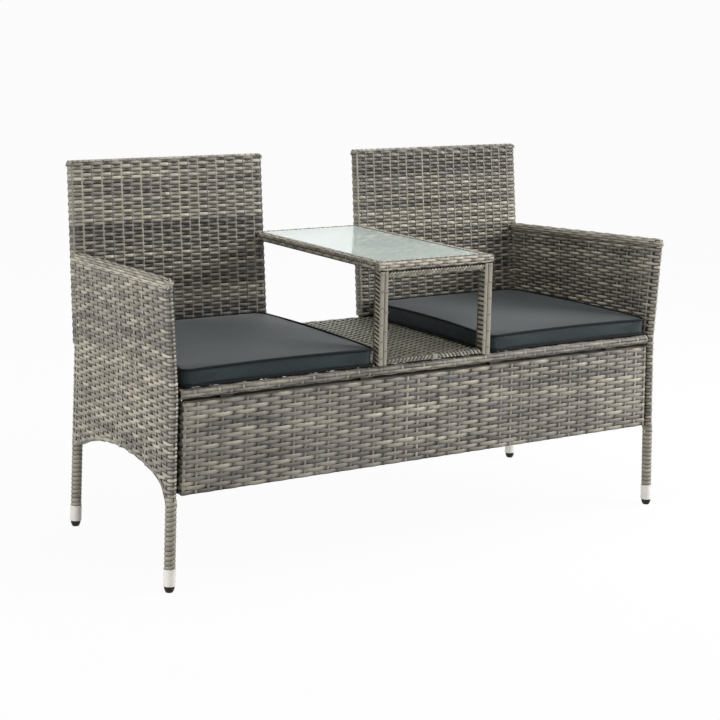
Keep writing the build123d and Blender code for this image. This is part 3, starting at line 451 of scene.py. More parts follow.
def arch_edge(stake, row):
    """Five strands bent round the arched lower edge, carried along the three arcs at an even speed."""
    fine_run = np.concatenate([np.linspace(3, 57, 60), np.linspace(58, 502, 140)]) * mm
    fine_z = arch_height(fine_run)
    length = np.concatenate([[0], np.cumsum(np.hypot(np.diff(fine_run), np.diff(fine_z)))])
    at = np.clip(stake, 0, arch_joints) / arch_joints * length[-1]
    run, z = np.interp(at, length, fine_run), np.interp(at, length, fine_z)
    slope = np.interp(at, length, np.arctan2(np.gradient(fine_z), np.gradient(fine_run)))
    across, above, face_x, face_z = cap_profile(row / arch_rows, side_half_t - 0.3 * mm, 4 * mm, 5 * mm)
    fx, fy, ex, ey, _ = side_line(z)
    down = above - 0.6 * mm
    along = run + down * np.sin(slope)
    place = np.stack([fx + ex * along + ey * across, fy + ey * along - ex * across, z - down * np.cos(slope)], -1)
    way = np.stack([ey * face_x + ex * face_z * np.sin(slope), -ex * face_x + ey * face_z * np.sin(slope),
                    -face_z * np.cos(slope)], -1)
    return place, way, np.ones_like(run)


for side, seed in (("left", 37), ("right", 41)):
    bundles = weave(side_skin, side_rows, side_stakes, seed, kept=side_kept, calm=edge_calm, patch=40 * mm,
                    lift=2.8 * mm, crown=2.3 * mm, middle=0.6)
    bundles += weave(arch_edge, arch_rows, arch_joints, seed + 3, closed=False, lift=0.6 * mm, width=8.0 * mm,
                     rise=-0.4 * mm, shade_sheet=2.2 * mm)
    lay("side_weave_" + side, bundles, ["side_panel_" + side], side == "left")

# Arms. The rail on top of each side is covered with lengthwise strands that cross the ends of the side's stakes, and
# closes in a rounded end over the front leg.
arm_way = (arm_rear - arm_front) / np.linalg.norm(arm_rear - arm_front)
arm_overhang = 14 * mm
arm_length = 526.5 * mm
arm_radius = 12.3 * mm
arm_rows = 12
arm_stakes = 20


def square_to(way, upward):
    """The way sideways of a bar, and the given way up, made square to the bar."""
    upward = np.array(upward, float)
    upward = upward - way * (upward @ way)
    upward /= np.linalg.norm(upward)
    return np.cross(way, upward), upward


def rail_skin(start, way, length, section, rows, stakes, nose=0.0, upward=(0, 0, 1)):
    """Rounded section carried along a straight line. Near the start it closes to a dome: over the nose's length the
    section shrinks as a quarter ellipse does, down to a twenty-fifth."""
    way = np.array(way, float)
    sideways, upward = square_to(way, upward)

    def skin_at(stake, row):
        loop, face = box_loop(row / rows, *section)
        at = stake / stakes * length
        size = np.ones_like(at)
        if nose:
            size = np.sqrt(np.maximum(1 - np.clip(1 - at / nose, 0, 1) ** 2, 0.0016))
        place = np.array(start) + way * at[..., None]
        place = place + (sideways * loop[..., :1] + upward * loop[..., 1:]) * size[..., None]
        return place, sideways * face[..., :1] + upward * face[..., 1:], size

    return skin_at


for side, seed in (("left", 53), ("right", 59)):
    surface = rail_skin(arm_front - arm_way * arm_overhang, arm_way, arm_length, (arm_radius,) * 3, arm_rows,
                        arm_stakes, nose=10 * mm)
    # The arms' high middle tone is painted light: it stands in for the bright light on their tops.
    bundles = weave(surface, arm_rows, arm_stakes, seed, closed=False, lift=0.7 * mm, width=4.9 * mm,
                    stake_width=3.0 * mm, rise=-0.9 * mm, shade_sheet=2.6 * mm, patch=30 * mm, middle=1.0, crown=1.4 * mm,
                    dip_shade=0.3)
    lay("arm_strands_" + side, bundles, ["arm_wrap_" + side], side == "left")

# Legs. Below the woven side each leg tube is wound with one strand in close turns, pushed down into the sleeve below
# and tucked under the weave above.
wind_pitch = 10 * mm
wind_z = np.array([44, 200, 218]) * mm
wind_radius = 12.3 * mm
core_radius = 10.6 * mm


def wraps(start, end, section, upward, count, turns, slide, width, seed, tone=(0.6, 0.14), crown=1.6 * mm, fine=17,
          painted_light_shade=0.0):
    """Short strands laid round a bar's rounded section from the first to the last of the given turns, spread evenly
    along the bar. On its way round each one slides along the bar through the given offsets. The last argument sets
    how strongly painted light and shade lie across each strand: darker towards its edge nearer the bar's start,
    lighter towards the other."""
    start, end = np.array(start, float), np.array(end, float)
    length = np.linalg.norm(end - start)
    way = (end - start) / length
    sideways, upward = square_to(way, upward)
    share = np.linspace(0, 1, fine)
    loop, face = box_loop(turns[0] + (turns[1] - turns[0]) * share, *section)
    offset = np.interp(share, np.linspace(0, 1, len(slide)), slide)
    at = length * (np.arange(count)[:, None] + 0.5) / count + offset
    at = np.clip(at, width * 0.3, length - width * 0.3)
    centre = start + way * at[..., None] + sideways * loop[:, :1] + upward * loop[:, 1:]
    out = np.broadcast_to(sideways * face[:, :1] + upward * face[:, 1:], centre.shape)
    run = length_along(centre)
    # Painted light and shade across the strand: lighter towards the first edge, darker towards the last.
    edge_shade = np.array([-0.2, -0.4, -0.1, 0.4, 1.0])
    tones = np.clip(np.random.default_rng(seed).normal(*tone, (count, 1, 1)) - painted_light_shade * edge_shade, 0.1, 1.0)
    return strips(centre, out, width, crown), run, np.broadcast_to(tones, run.shape + edge_shade.shape), None


low, front_top, rear_top = wind_z
fx, fy, rx, ry = leg_axes(wind_z)
for side, seed in (("left", 61), ("right", 67)):
    for name, foot, top, more in (("front", (fx[0], fy[0], low), (fx[1], fy[1], front_top), 0),
                                  ("rear", (rx[0], ry[0], low), (rx[2], ry[2], rear_top), 2)):
        turns = int((top[2] - low) / wind_pitch)
        way = np.array(top) - foot
        span = np.linalg.norm(way)
        core = rail_skin(foot, way / span, span, (core_radius,) * 3, 8, 8, upward=(0, 1, 0))
        # The turns carry painted light and shade, darker at their lower edges, over a core in the darkest tone as
        # painted shade.
        bundles = [wraps(foot, top, (wind_radius,) * 3, (0, 1, 0), turns, (0, 1), (-wind_pitch / 2, wind_pitch / 2),
                         wind_pitch * 0.95, seed + more, tone=(0.56, 0.06), crown=1.5 * mm, fine=25, painted_light_shade=0.4),
                   shade_sheet_of(core, 8, 8, 0)]
        lay(name + "_leg_winding_" + side, bundles, [name + "_leg_wrap_" + side], side == "left")

# Feet. A cream moulded sleeve covers the end of the winding on each leg, and a black tapered glide is pushed into
# the tube's end under it.


def mottle(tree, shader, per_metre, detail, dark, light):
    """Soft clouds, so many to the metre, that shift the base colour between two tones."""
    spot = add(tree, "ShaderNodeTexCoord", {})
    clouds = add(tree, "ShaderNodeTexNoise", {"Vector": spot.outputs["Object"], "Scale": per_metre, "Detail": detail})
    shift = add(tree, "ShaderNodeValToRGB", {"Fac": clouds.outputs["Fac"]})
    shift.color_ramp.elements[0].color = linear(dark)
    shift.color_ramp.elements[1].color = linear(light)
    tree.links.new(shift.outputs["Color"], shader.inputs["Base Color"])


def dress(node, material):
    """Gives a piece that keeps its own shape one material."""
    coats = frame["nodes"][node].data.materials
    coats.clear()
    coats.append(material)


# Cream polypropylene: pale with a low gloss, faintly soiled in clouds about 11 mm across.
cream, tree, shader = finish_named("moulded_cream_polypropylene")
mottle(tree, shader, 90.0, 4.0, "#e6e1da", "#f5f2ed")
shader.inputs["Roughness"].default_value = 0.42
dress("foot_sleeves", cream)

# Black polyethylene: deep and dull, scuffed in specks of 2.5 mm.
black, tree, shader = finish_named("moulded_black_polyethylene")
mottle(tree, shader, 400.0, 3.0, "#0f0e0d", "#22201e")
shader.inputs["Roughness"].default_value = 0.5
shader.inputs["Specular IOR Level"].default_value = 0.25
for corner in ("front_left", "front_right", "rear_left", "rear_right"):
    dress("glide_" + corner, black)

# Apron. The woven panel that hangs under the seat's front rail: one long sheath round two bars, its weavers turning
# sharply at both ends, with plain strands closing it above and below. Dark strips of painted shade fill the gaps
# round it.
apron_low = 203 * mm
apron_high = 399.4 * mm
apron_y = -270.4 * mm
apron_half_t = 14 * mm
apron_edge_radius = 6 * mm
apron_mid_w = 628 * mm
apron_rows = 21
apron_stakes = 88


def apron_half_w(z):
    """The ends follow the splay of the legs at a set distance."""
    return foot_front_x - splay * z / knee_z - 17 * mm


def apron_skin(stake, row):
    """Rounded rectangle at each row, stretched to the apron's width at that height."""
    z = apron_low + 1 * mm + (apron_high - apron_low - 2 * mm) * row / apron_rows
    loop, face = box_loop(stake / apron_stakes, apron_mid_w, apron_half_t - skin, apron_edge_radius - skin)
    x = loop[..., 0] / apron_mid_w * (apron_half_w(z) - skin)
    return (np.stack([x, apron_y + loop[..., 1], z], -1),
            np.stack([face[..., 0], face[..., 1], np.zeros_like(x)], -1), np.ones_like(x))


bundles = weave(apron_skin, apron_rows, apron_stakes, 71, width=9.2 * mm, patch=75 * mm, spread=0.62, middle=0.48,
                lift=1.6 * mm, crown=1.1 * mm, stake_width=6.4 * mm, rise=0.4 * mm, stake_tone=(0.4, 0.22))
for z, up, seed in ((apron_low + 1 * mm, -1, 73), (apron_high - 1 * mm, 1, 79)):
    ends = np.array([[-1, 0, 0], [1, 0, 0]]) * (apron_half_w(z) - 3 * mm) + (0, apron_y, z)
    bundles.append(flat_rows(ends, (0, 25 * mm, 0), 3, (0, 0, up), seed))
# Black strips of painted shade above the apron and beside its ends.
inside_y = front_y + 6 * mm
above = [(x, inside_y, 401.5 * mm) for x in (-620 * mm, 620 * mm)]
bundles.append(flat_rows(above, (0, 0, 13 * mm), 1, (0, -1, 0), tone=0.0))
for sign in (-1, 1):
    shade_beside = [(sign * (apron_half_w(z) + 2.5 * mm), inside_y, z) for z in (205 * mm, 425 * mm)]
    bundles.append(flat_rows(shade_beside, (15 * mm, 0, 0), 1, (0, -1, 0), tone=0.0))
lay("apron_weave", bundles, ["apron_panel"])

# Seat rails. The tubes along the seat's front and rear edges are covered with lengthwise strands, held every three
# centimetres by strands that cross them.
rail_radius = 10.9 * mm
rail_rows = 8
rail_joints = 44
for name, y, half, seed in (("seat_front_rail", front_y, 626.4 * mm, 83), ("seat_rear_rail", rear_y, 603.9 * mm, 89)):
    surface = rail_skin((-half, y, knee_z), (1, 0, 0), 2 * half, (rail_radius,) * 3, rail_rows, rail_joints)
    bundles = weave(surface, rail_rows, rail_joints, seed, closed=False, lift=0.7 * mm, width=8.2 * mm,
                    stake_width=7.0 * mm, rise=0.0, stake_tone=(0.62, 0.1), shade_sheet=2.2 * mm, middle=0.45,
                    crown=1.5 * mm)
    lay(name + "_strands", bundles, [name + "_wrap"])

# Seat deck. A single flat weave stretched over the seat's bars, its long weavers running from side to side, left a
# little uneven by hand, over a dark sheet of painted shade. Its strands are drawn lighter than the other rattan, as
# painted light from above.
deck_front_y = -262.5
deck_depth = 496.0
deck_half_w = 626.5 * mm
deck_taper = 22.5 * mm
deck_z = 425.9 * mm
deck_rows = 57
deck_stakes = 62


def deck_skin(stake, row):
    """Level sheet as wide as the seat at each depth. Slow sines along and across leave it uneven by a third of a
    millimetre."""
    y = (deck_front_y + deck_depth * row / deck_rows) * mm
    half = deck_half_w - deck_taper * (y - front_y) / seat_depth
    x = (2 * stake / deck_stakes - 1) * half
    z = deck_z + 0.35 * mm * np.sin(37 * x + 2.1 * np.sin(21 * y)) * np.sin(33 * y)
    return np.stack([x, y, z], -1), np.broadcast_to([0.0, 0.0, 1.0], x.shape + (3,)), np.ones_like(x)


def deck_under(stake, row):
    """The same sheet, seen from below."""
    place, way, size = deck_skin(stake, row)
    return place - (0, 0, 0.5 * mm), -way, size


# The deck's high middle tone is painted light from above; its strands darken where they dip as painted shade.
flat = dict(closed=False, fine=4, width=8.2 * mm, rise=-0.6 * mm, shade_sheet=0, patch=45 * mm, crown=0.9 * mm,
            stake_tone=(0.6, 0.2), middle=1.3, dip_shade=0.6)
bundles = weave(deck_skin, deck_rows, deck_stakes, 97, lift=1.8 * mm, offsets=(-0.5, -0.2, 0.2, 0.5), **flat)
bundles += weave(deck_under, deck_rows, deck_stakes, 97, lift=-1.8 * mm, offsets=(-0.5, 0.5), **flat)
bundles.append(shade_sheet_of(deck_skin, deck_rows, deck_stakes, 0.6 * mm))
lay("deck_weave", bundles, ["seat_deck"])

# Coffee table rim. Four lengths of wound frame round the glass: lengthwise strands over the faces, held by a joint
# every two centimetres, and short stitches that draw them down over the inner edge beside the glass.
rim_mid_z = 645.25 * mm
rim_strand = 1.0 * mm
rim_half_h = 9.75 * mm - rim_strand
stitch_rise = 1.2 * mm


def end_face(surface, stake, rows, flip):
    """Flat end of a rail: its section's loop, drawn in to the middle in two steps."""
    turn = np.linspace(0, rows, 25)[None, ::-1 if flip else 1]
    place = surface(np.full_like(turn, stake), turn)[0]
    share = np.array([0, 0.5, 1.0])[:, None]
    grid = place[:, :, None] * (1 - share) + place.mean(axis=1, keepdims=True)[:, :, None] * share
    return grid, turn * 3 * mm, np.full(turn.shape, 0.45), None


# Where each length starts, its way, length, half depth, strands and joints, and the turns, count and seed of its
# stitches.
rims = (("front", (-152.2, -272.1), (1, 0, 0), 304.4, 12, 10, 16, (0.5, 0.73), 23, 101),
        ("left", (-142.5, -259.8), (0, 1, 0), 508.6, 10, 8, 26, (0.5, 0.27), 38, 103),
        ("right", (142.5, -259.8), (0, 1, 0), 508.6, 10, 8, 26, (0.5, 0.73), 38, 107),
        ("rear", (-131.4, 261.5), (1, 0, 0), 262.8, 4, 6, 14, (0.48, 0.3), 20, 109))
for side, start, way, length, half_d, rows, joints, turns, count, seed in rims:
    start = np.array([*start, 0]) * mm + (0, 0, rim_mid_z)
    way = np.array(way, float)
    section = (half_d * mm - rim_strand, rim_half_h, min(4.5, half_d - 1.5) * mm)
    surface = rail_skin(start, way, length * mm, section, rows, joints)
    bundles = weave(surface, rows, joints, seed, closed=False, lift=0.8 * mm, width=6.2 * mm, stake_width=3.6 * mm,
                    rise=0.0, stake_tone=(0.6, 0.15), shade_sheet=2.2 * mm, crown=1.5 * mm, patch=50 * mm, middle=0.82,
                    dip_shade=0.45)
    proud = (section[0] + stitch_rise, section[1] + stitch_rise, section[2])
    bundles.append(wraps(start + way * 3 * mm, start + way * (length - 3) * mm, proud, (0, 0, 1), count, turns,
                         (0, 0), 6.6 * mm, seed + 1, tone=(0.95, 0.05), crown=1.0 * mm, fine=9))
    bundles += [end_face(surface, 0, rows, False), end_face(surface, joints, rows, True)]
    inner = np.cross(way, (0, 0, 1)) * (1 if turns[1] < 0.5 else -1)
    ends = [start + way * at * mm for at in (2, length - 2)]
    # A black strip of painted shade under the stitches shows in the gaps between them.
    shade_bed = [end + inner * (half_d * 0.5) * mm + (0, 0, rim_half_h + 0.5 * mm) for end in ends]
    bundles.append(flat_rows(shade_bed, inner * half_d * 0.8 * mm, 1, (0, 0, 1), tone=0.0))
    ledge = [end + inner * (half_d + 3.5) * mm - (0, 0, 3.2 * mm) for end in ends]
    bundles.append(flat_rows(ledge, inner * 9 * mm, 1, (0, 0, 1), seed + 2))
    lay("table_rim_strands_" + side, bundles, ["table_rim_" + side])

# Table leg loop. A welded rectangle that stands on the seat's front rail and carries the rim. Its posts have slanted
# turns on their outer sides, level ones inside and two tied strands down the front and the rear; its upper bar is
# wound like rope, and its lower one in a zigzag with a band over the middle.
loop_y = -270.1 * mm
loop_half_t = 13 * mm
loop_strand = 1.2 * mm
post_x = 140 * mm
post_low = 428.5 * mm
post_high = 635 * mm
post_section = (loop_half_t - loop_strand, 11 * mm - loop_strand, 3 * mm)
bar_section = (loop_half_t - loop_strand, 5.2 * mm, 3 * mm)
for side, seed in (("left", 113), ("right", 127)):
    foot, top = (post_x, loop_y, post_low), (post_x, loop_y, post_high)
    surface = rail_skin(foot, (0, 0, 1), post_high - post_low, post_section, 8, 10, upward=(1, 0, 0))
    # A dark sheet of painted shade lies under the post's strands.
    bundles = [shade_sheet_of(surface, 8, 10, 1.5 * mm)]
    bundles.append(wraps(foot, top, post_section, (1, 0, 0), 22, (0.29, 0.71), (4.6 * mm, -4.6 * mm), 5.8 * mm, seed,
                         tone=(0.72, 0.1), crown=2.2 * mm))
    bundles.append(wraps(foot, top, post_section, (1, 0, 0), 19, (-0.21, 0.21), (0, 0), 7.6 * mm, seed + 1,
                         crown=2.2 * mm))
    for x, width, ties in ((145.3, 10.6, range(444, 630, 37)), (134.2, 8.2, range(460, 630, 43))):
        for out in (-1, 1):
            ends = [(x * mm, loop_y + out * loop_half_t, z) for z in (post_low + 0.1 * mm, post_high)]
            bundles.append(flat_rows(ends, (width * mm, 0, 0), 1, (0, out, 0), tone=0.64))
        for z in ties:
            ends = [((x + dx) * mm, loop_y - loop_half_t - 1 * mm, z * mm) for dx in (-5.6, 5.6)]
            bundles.append(flat_rows(ends, (0, 0, 3.2 * mm), 1, (0, -1, 0), tone=0.4))
    lay("table_post_strands_" + side, bundles, ["table_leg_" + side], side == "left")
for name, z, seed in (("top_bar", 627.6 * mm, 131), ("foot_bar", 434.9 * mm, 137)):
    first, centre, last = (np.array([x * mm, loop_y, z]) for x in (-128.5, 0, 128.5))
    surface = rail_skin(first, (1, 0, 0), 257 * mm, bar_section, 6, 10)
    # A dark sheet of painted shade lies under the bar's strands.
    bundles = [shade_sheet_of(surface, 6, 10, 1.5 * mm)]
    if name == "top_bar":
        bundles.append(wraps(first, last, bar_section, (0, 0, 1), 31, (0, 1), (-11 * mm, 11 * mm, -11 * mm),
                             5.6 * mm, seed, tone=(0.66, 0.1), crown=2.0 * mm, fine=33))
    else:
        for start, end, sign in ((first, centre, 1), (centre, last, -1)):
            zigzag = np.array([-5, 5, -5, 5]) * sign * mm
            bundles.append(wraps(start, end, bar_section, (0, 0, 1), 13, (0.08, 0.92), zigzag, 5.6 * mm, seed + sign,
                                 tone=(0.62, 0.1), crown=2.0 * mm, fine=33))
        band = (bar_section[0] + 1 * mm, bar_section[1] + 1 * mm, 3 * mm)
        bundles.append(wraps(centre - (9 * mm, 0, 0), centre + (9 * mm, 0, 0), band, (0, 0, 1), 1, (0.05, 0.6),
                             (0, 0), 14 * mm, seed, tone=(0.66, 0.0), crown=0.8 * mm))
    lay("table_" + name + "_strands", bundles, ["table_leg_" + name])

# Table glass. One sheet of toughened float glass with ground edges, pale green in its own thickness and lightly
# veiled in clouds of 17 mm, so that it half hides what lies below it and mirrors the backrests at low angles. It
# rests on clear pads.
glass, tree, shader = finish_named("veiled_float_glass")
mottle(tree, shader, 60.0, 3.0, "#dcefe7", "#ebf7f2")
shader.inputs["Transmission Weight"].default_value = 0.55
shader.inputs["Roughness"].default_value = 0.03
shader.inputs["IOR"].default_value = 1.45
shader.inputs["Coat Weight"].default_value = 1.0
shader.inputs["Coat Roughness"].default_value = 0.65
shader.inputs["Coat IOR"].default_value = 2.0
dress("glass_top", glass)

# Clear silicone: colourless and soft, with a haze that changes every 3 mm.
clear, tree, shader = finish_named("clear_silicone")
spot = add(tree, "ShaderNodeTexCoord", {})
clouds = add(tree, "ShaderNodeTexNoise", {"Vector": spot.outputs["Object"], "Scale": 300.0})
haze = add(tree, "ShaderNodeMapRange", {"Value": clouds.outputs["Fac"], "To Min": 0.15, "To Max": 0.35})
tree.links.new(haze.outputs["Result"], shader.inputs["Roughness"])
shader.inputs["Base Color"].default_value = linear("#d8dcd8")
shader.inputs["Transmission Weight"].default_value = 0.6
dress("glass_pads", clear)

# Cushions. Two loose foam pads in boxed covers of charcoal polyester: a top and a bottom panel and a band between
# them, sewn with piped edges. The foam swells the panels between the seams.
cushion_low = 428.3 * mm
cushion_half_w = 235 * mm
cushion_half_d = 249 * mm
cushion_corner = 20 * mm
cushion_pull = 4 * mm
lower_seam = 2.5
upper_seam = 35.5


def cushion_outline(turn, inset):
    """Oblong with rounded corners, whose sides draw in between them by up to 4 mm, tapered to the rear with the seat,
    and how far its upper seam bows up: as a parabola from corner to corner, 6 mm at the sides and 3 mm at the front
    and the rear."""
    loop, _ = box_loop(turn, cushion_half_w, cushion_half_d, cushion_corner)
    u, v = loop[..., 0] / cushion_half_w, loop[..., 1] / cushion_half_d
    pulled_u = u * (1 - cushion_pull / cushion_half_w * (1 - v ** 2)) * (1 - inset / cushion_half_w)
    pulled_v = v * (1 - cushion_pull / cushion_half_d * (1 - u ** 2)) * (1 - inset / cushion_half_d)
    y = (-29.1 + 249.2 * pulled_v) * mm
    inner = 155.0 * mm
    outer = (627.4 - 29.6 * (y / mm + 278.4) / 498.5) * mm
    bow = (6 * u ** 2 * (1 - v ** 2) + 3 * v ** 2 * (1 - u ** 2)) * mm
    return inner + (outer - inner) * (pulled_u + 1) / 2, y, bow


turn = np.linspace(0, 1, 241)[:-1]
seam_x, seam_y, seam_bow = cushion_outline(turn, 1.6 * mm)
# Share of the outline and height in millimetres, from the middle of the bottom over the band to that of the top.
rings = np.array([(0.0, 0), (0.5, 0), (0.9, 0), (0.985, 0.4), (1.0, lower_seam), (0.996, 12), (0.994, 19),
                  (0.996, 26), (1.0, upper_seam), (0.985, 37.8), (0.93, 39.2), (0.8, 41.6), (0.6, 44.2), (0.3, 46.2),
                  (0.0, 47)])
share, rise = rings[:, :1], rings[:, 1:]
middle_x, middle_y = np.mean(seam_x), np.mean(seam_y)
pad = np.stack([middle_x + (seam_x - middle_x) * share, middle_y + (seam_y - middle_y) * share,
                cushion_low + rise * mm + seam_bow * share * np.clip(rise / upper_seam, 0, 1)], -1)
index = np.arange(pad.shape[0] * pad.shape[1]).reshape(pad.shape[:2])
nxt = np.roll(index, -1, axis=1)
quads = np.stack([index[:-1], nxt[:-1], nxt[1:], index[1:]], -1).reshape(-1, 4)
rough = bpy.data.meshes.new("cushion_cover")
rough.from_pydata(pad.reshape(-1, 3).tolist(), [], quads.tolist())
rough.update()
cover = put("cushion_cover", rough)
remesh = cover.modifiers.new("remesh", "REMESH")
remesh.mode = "VOXEL"
remesh.voxel_size = 5.5 * mm
even = bpy.data.meshes.new_from_object(cover.evaluated_get(bpy.context.evaluated_depsgraph_get()))
bpy.data.objects.remove(cover)
rest = np.zeros(len(even.vertices) * 3, np.float32)
even.vertices.foreach_get("co", rest)
rest = rest.reshape(-1, 3).astype(float)
seams = np.concatenate([np.stack([seam_x, seam_y, cushion_low + z * mm + seam_bow * up], -1)
                        for z, up in ((lower_seam, 0), (upper_seam, 1))])
near = np.min([np.linalg.norm(rest - point, axis=1) for point in seams], axis=0)
moved = rest.copy()
held_within, most, steps = 4.5 * mm, 5 * mm, 20
soft = put("cushion_cloth", even.copy())
held = soft.vertex_groups.new(name="seam")
held.add(np.flatnonzero(near < held_within).tolist(), 1.0, "REPLACE")
cloth = soft.modifiers.new("cloth", "CLOTH")
cloth.settings.vertex_group_mass = "seam"
cloth.settings.use_pressure = True
cloth.settings.uniform_pressure_force = 4.0
cloth.settings.effector_weights.gravity = 0.0
cloth.point_cache.frame_start = 1
cloth.point_cache.frame_end = steps
for step in range(1, steps + 1):
    bpy.context.scene.frame_set(step)
swollen = soft.evaluated_get(bpy.context.evaluated_depsgraph_get()).to_mesh()
after = np.zeros(len(swollen.vertices) * 3, np.float32)
swollen.vertices.foreach_get("co", after)
push = after.reshape(-1, 3) - rest
size = np.linalg.norm(push, axis=1, keepdims=True)
moved = rest + push * np.minimum(1, most / np.maximum(size, 1e-9))
bpy.data.objects.remove(soft)
bpy.context.scene.frame_set(1)
moved[:, 2] = np.maximum(moved[:, 2], cushion_low)

# Charcoal polyester, plain woven and backed. Threads about 1.5 mm apart are drawn here at 3 mm so that they show; the
# cloth is nearly black face on, and a soft grey sheen lies over it at low angles. A wave texture repeats every 314 mm
# over its scale.
threads_3mm = 105.0
charcoal, tree, shader = finish_named("woven_charcoal_polyester")
spot = add(tree, "ShaderNodeTexCoord", {})
warp = add(tree, "ShaderNodeTexWave", {"Vector": spot.outputs["Object"], "Scale": threads_3mm, "Distortion": 0.6},
           bands_direction="X")
weft = add(tree, "ShaderNodeTexWave", {"Vector": spot.outputs["Object"], "Scale": threads_3mm, "Distortion": 0.6},
           bands_direction="Y")
threads = add(tree, "ShaderNodeMath", {0: warp.outputs["Fac"], 1: weft.outputs["Fac"]}, operation="MULTIPLY")
clouds = add(tree, "ShaderNodeTexNoise", {"Vector": spot.outputs["Object"], "Scale": 600.0, "Detail": 2.0})
fleck = add(tree, "ShaderNodeMath", {0: threads.outputs[0], 1: 0.45, 2: clouds.outputs["Fac"]},
            operation="MULTIPLY_ADD")
melange = add(tree, "ShaderNodeValToRGB", {"Fac": fleck.outputs[0]})
melange.color_ramp.elements[0].position = 0.3
melange.color_ramp.elements[0].color = linear("#192326")
melange.color_ramp.elements[1].position = 0.95
melange.color_ramp.elements[1].color = linear("#343f42")
tree.links.new(melange.outputs["Color"], shader.inputs["Base Color"])
nap = add(tree, "ShaderNodeBump", {"Height": fleck.outputs[0], "Strength": 0.3, "Distance": 0.5 * mm})
tree.links.new(nap.outputs["Normal"], shader.inputs["Normal"])
shader.inputs["Roughness"].default_value = 0.6
shader.inputs["Specular IOR Level"].default_value = 0.2
shader.inputs["Sheen Weight"].default_value = 0.28
shader.inputs["Sheen Roughness"].default_value = 0.4

# Bias-cut tape of the same yarn, dyed darker and drawn tight over the piping cord, so that its threads run aslant.
bias_tape, tree, shader = finish_named("bias_cut_black_polyester")
spot = add(tree, "ShaderNodeTexCoord", {})
slant = add(tree, "ShaderNodeTexWave", {"Vector": spot.outputs["Object"], "Scale": threads_3mm, "Distortion": 0.4},
            bands_direction="DIAGONAL")
dyed = add(tree, "ShaderNodeValToRGB", {"Fac": slant.outputs["Fac"]})
dyed.color_ramp.elements[0].color = linear("#0a0c0d")
dyed.color_ramp.elements[1].color = linear("#171b1c")
tree.links.new(dyed.outputs["Color"], shader.inputs["Base Color"])
shader.inputs["Roughness"].default_value = 0.75
shader.inputs["Specular IOR Level"].default_value = 0.2

faces = np.zeros(len(even.loops), np.int32)
even.loops.foreach_get("vertex_index", faces)
faces = faces.reshape(-1, 4)
pipe_radius = 2.7 * mm
pipe_x, pipe_y, pipe_bow = cushion_outline(turn, 0.9 * mm)
around = np.radians(np.arange(0, 360, 45))
ahead = np.stack([np.roll(pipe_x, -1) - np.roll(pipe_x, 1), np.roll(pipe_y, -1) - np.roll(pipe_y, 1)], -1)
ahead /= np.linalg.norm(ahead, axis=1, keepdims=True)
index = np.arange(len(turn) * len(around)).reshape(len(turn), -1)
onward = np.roll(index, -1, 0)
pipe_quads = np.stack([index, onward, np.roll(onward, -1, 1), np.roll(index, -1, 1)], -1).reshape(-1, 4)
for side, sign in (("left", -1), ("right", 1)):
    parts, links, base = [moved * (sign, 1, 1)], [faces[:, ::sign]], len(moved)
    for z, up in ((3.0, 0), (36.4, 1)):
        aside, above = pipe_radius * np.cos(around), pipe_radius * np.sin(around)
        ring = np.stack([pipe_x[:, None] + aside * ahead[:, 1:], pipe_y[:, None] - aside * ahead[:, :1],
                         cushion_low + z * mm + pipe_bow[:, None] * up + above], -1)
        parts.append(ring.reshape(-1, 3) * (sign, 1, 1))
        links.append(base + pipe_quads[:, ::sign])
        base += index.size
    mesh = bpy.data.meshes.new("cushion_" + side)
    mesh.from_pydata(np.concatenate(parts).tolist(), [], np.concatenate(links).tolist())
    mesh.shade_smooth()
    mesh.materials.append(charcoal)
    mesh.materials.append(bias_tape)
    taped = np.repeat([0, 1], [len(faces), 2 * len(pipe_quads)])
    mesh.polygons.foreach_set("material_index", taped.astype(np.int32))
    cushion = put("cushion_" + side, mesh)
    smooth = cushion.modifiers.new("smooth", "SUBSURF")
    smooth.levels = smooth.render_levels = 1
    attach(cushion, side + "_cushion")
    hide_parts("seat_cushion_" + side)

# Steel frame. Welded tubes and bars with a satin black powder coat, mostly hidden in the weave, and zinc-plated bolts
# that hold the seat and the table's loop.

# Powder coat: even, dark and satin, with an orange peel of 2 mm.
coat, tree, shader = finish_named("powder_coated_steel")
spot = add(tree, "ShaderNodeTexCoord", {})
peel = add(tree, "ShaderNodeTexNoise", {"Vector": spot.outputs["Object"], "Scale": 500.0, "Detail": 2.0})
skin_bump = add(tree, "ShaderNodeBump", {"Height": peel.outputs["Fac"], "Strength": 0.15, "Distance": 0.2 * mm})
tree.links.new(skin_bump.outputs["Normal"], shader.inputs["Normal"])
shader.inputs["Base Color"].default_value = linear("#3b3733")
shader.inputs["Roughness"].default_value = 0.45

# Zinc plating: plain grey metal, its shine dulled in blooms of 1.4 mm.
zinc, tree, shader = finish_named("zinc_plated_steel")
spot = add(tree, "ShaderNodeTexCoord", {})
bloom = add(tree, "ShaderNodeTexNoise", {"Vector": spot.outputs["Object"], "Scale": 700.0, "Detail": 3.0})
dull = add(tree, "ShaderNodeMapRange", {"Value": bloom.outputs["Fac"], "To Min": 0.25, "To Max": 0.5})
tree.links.new(dull.outputs["Result"], shader.inputs["Roughness"])
shader.inputs["Base Color"].default_value = linear("#8f9092")
shader.inputs["Metallic"].default_value = 1.0
for part in frame["record"]["subparts"]:
    if part["material_slot"] in ("frame_steel", "bolt_steel"):
        dress(part["node"], coat if part["material_slot"] == "frame_steel" else zinc)

# Studio. A white floor under a white sky, a large soft lamp at the right, and weaker ones above and low at the left.
floor_reach = 300
corners = [(-1, -1), (1, -1), (1, 1), (-1, 1)]


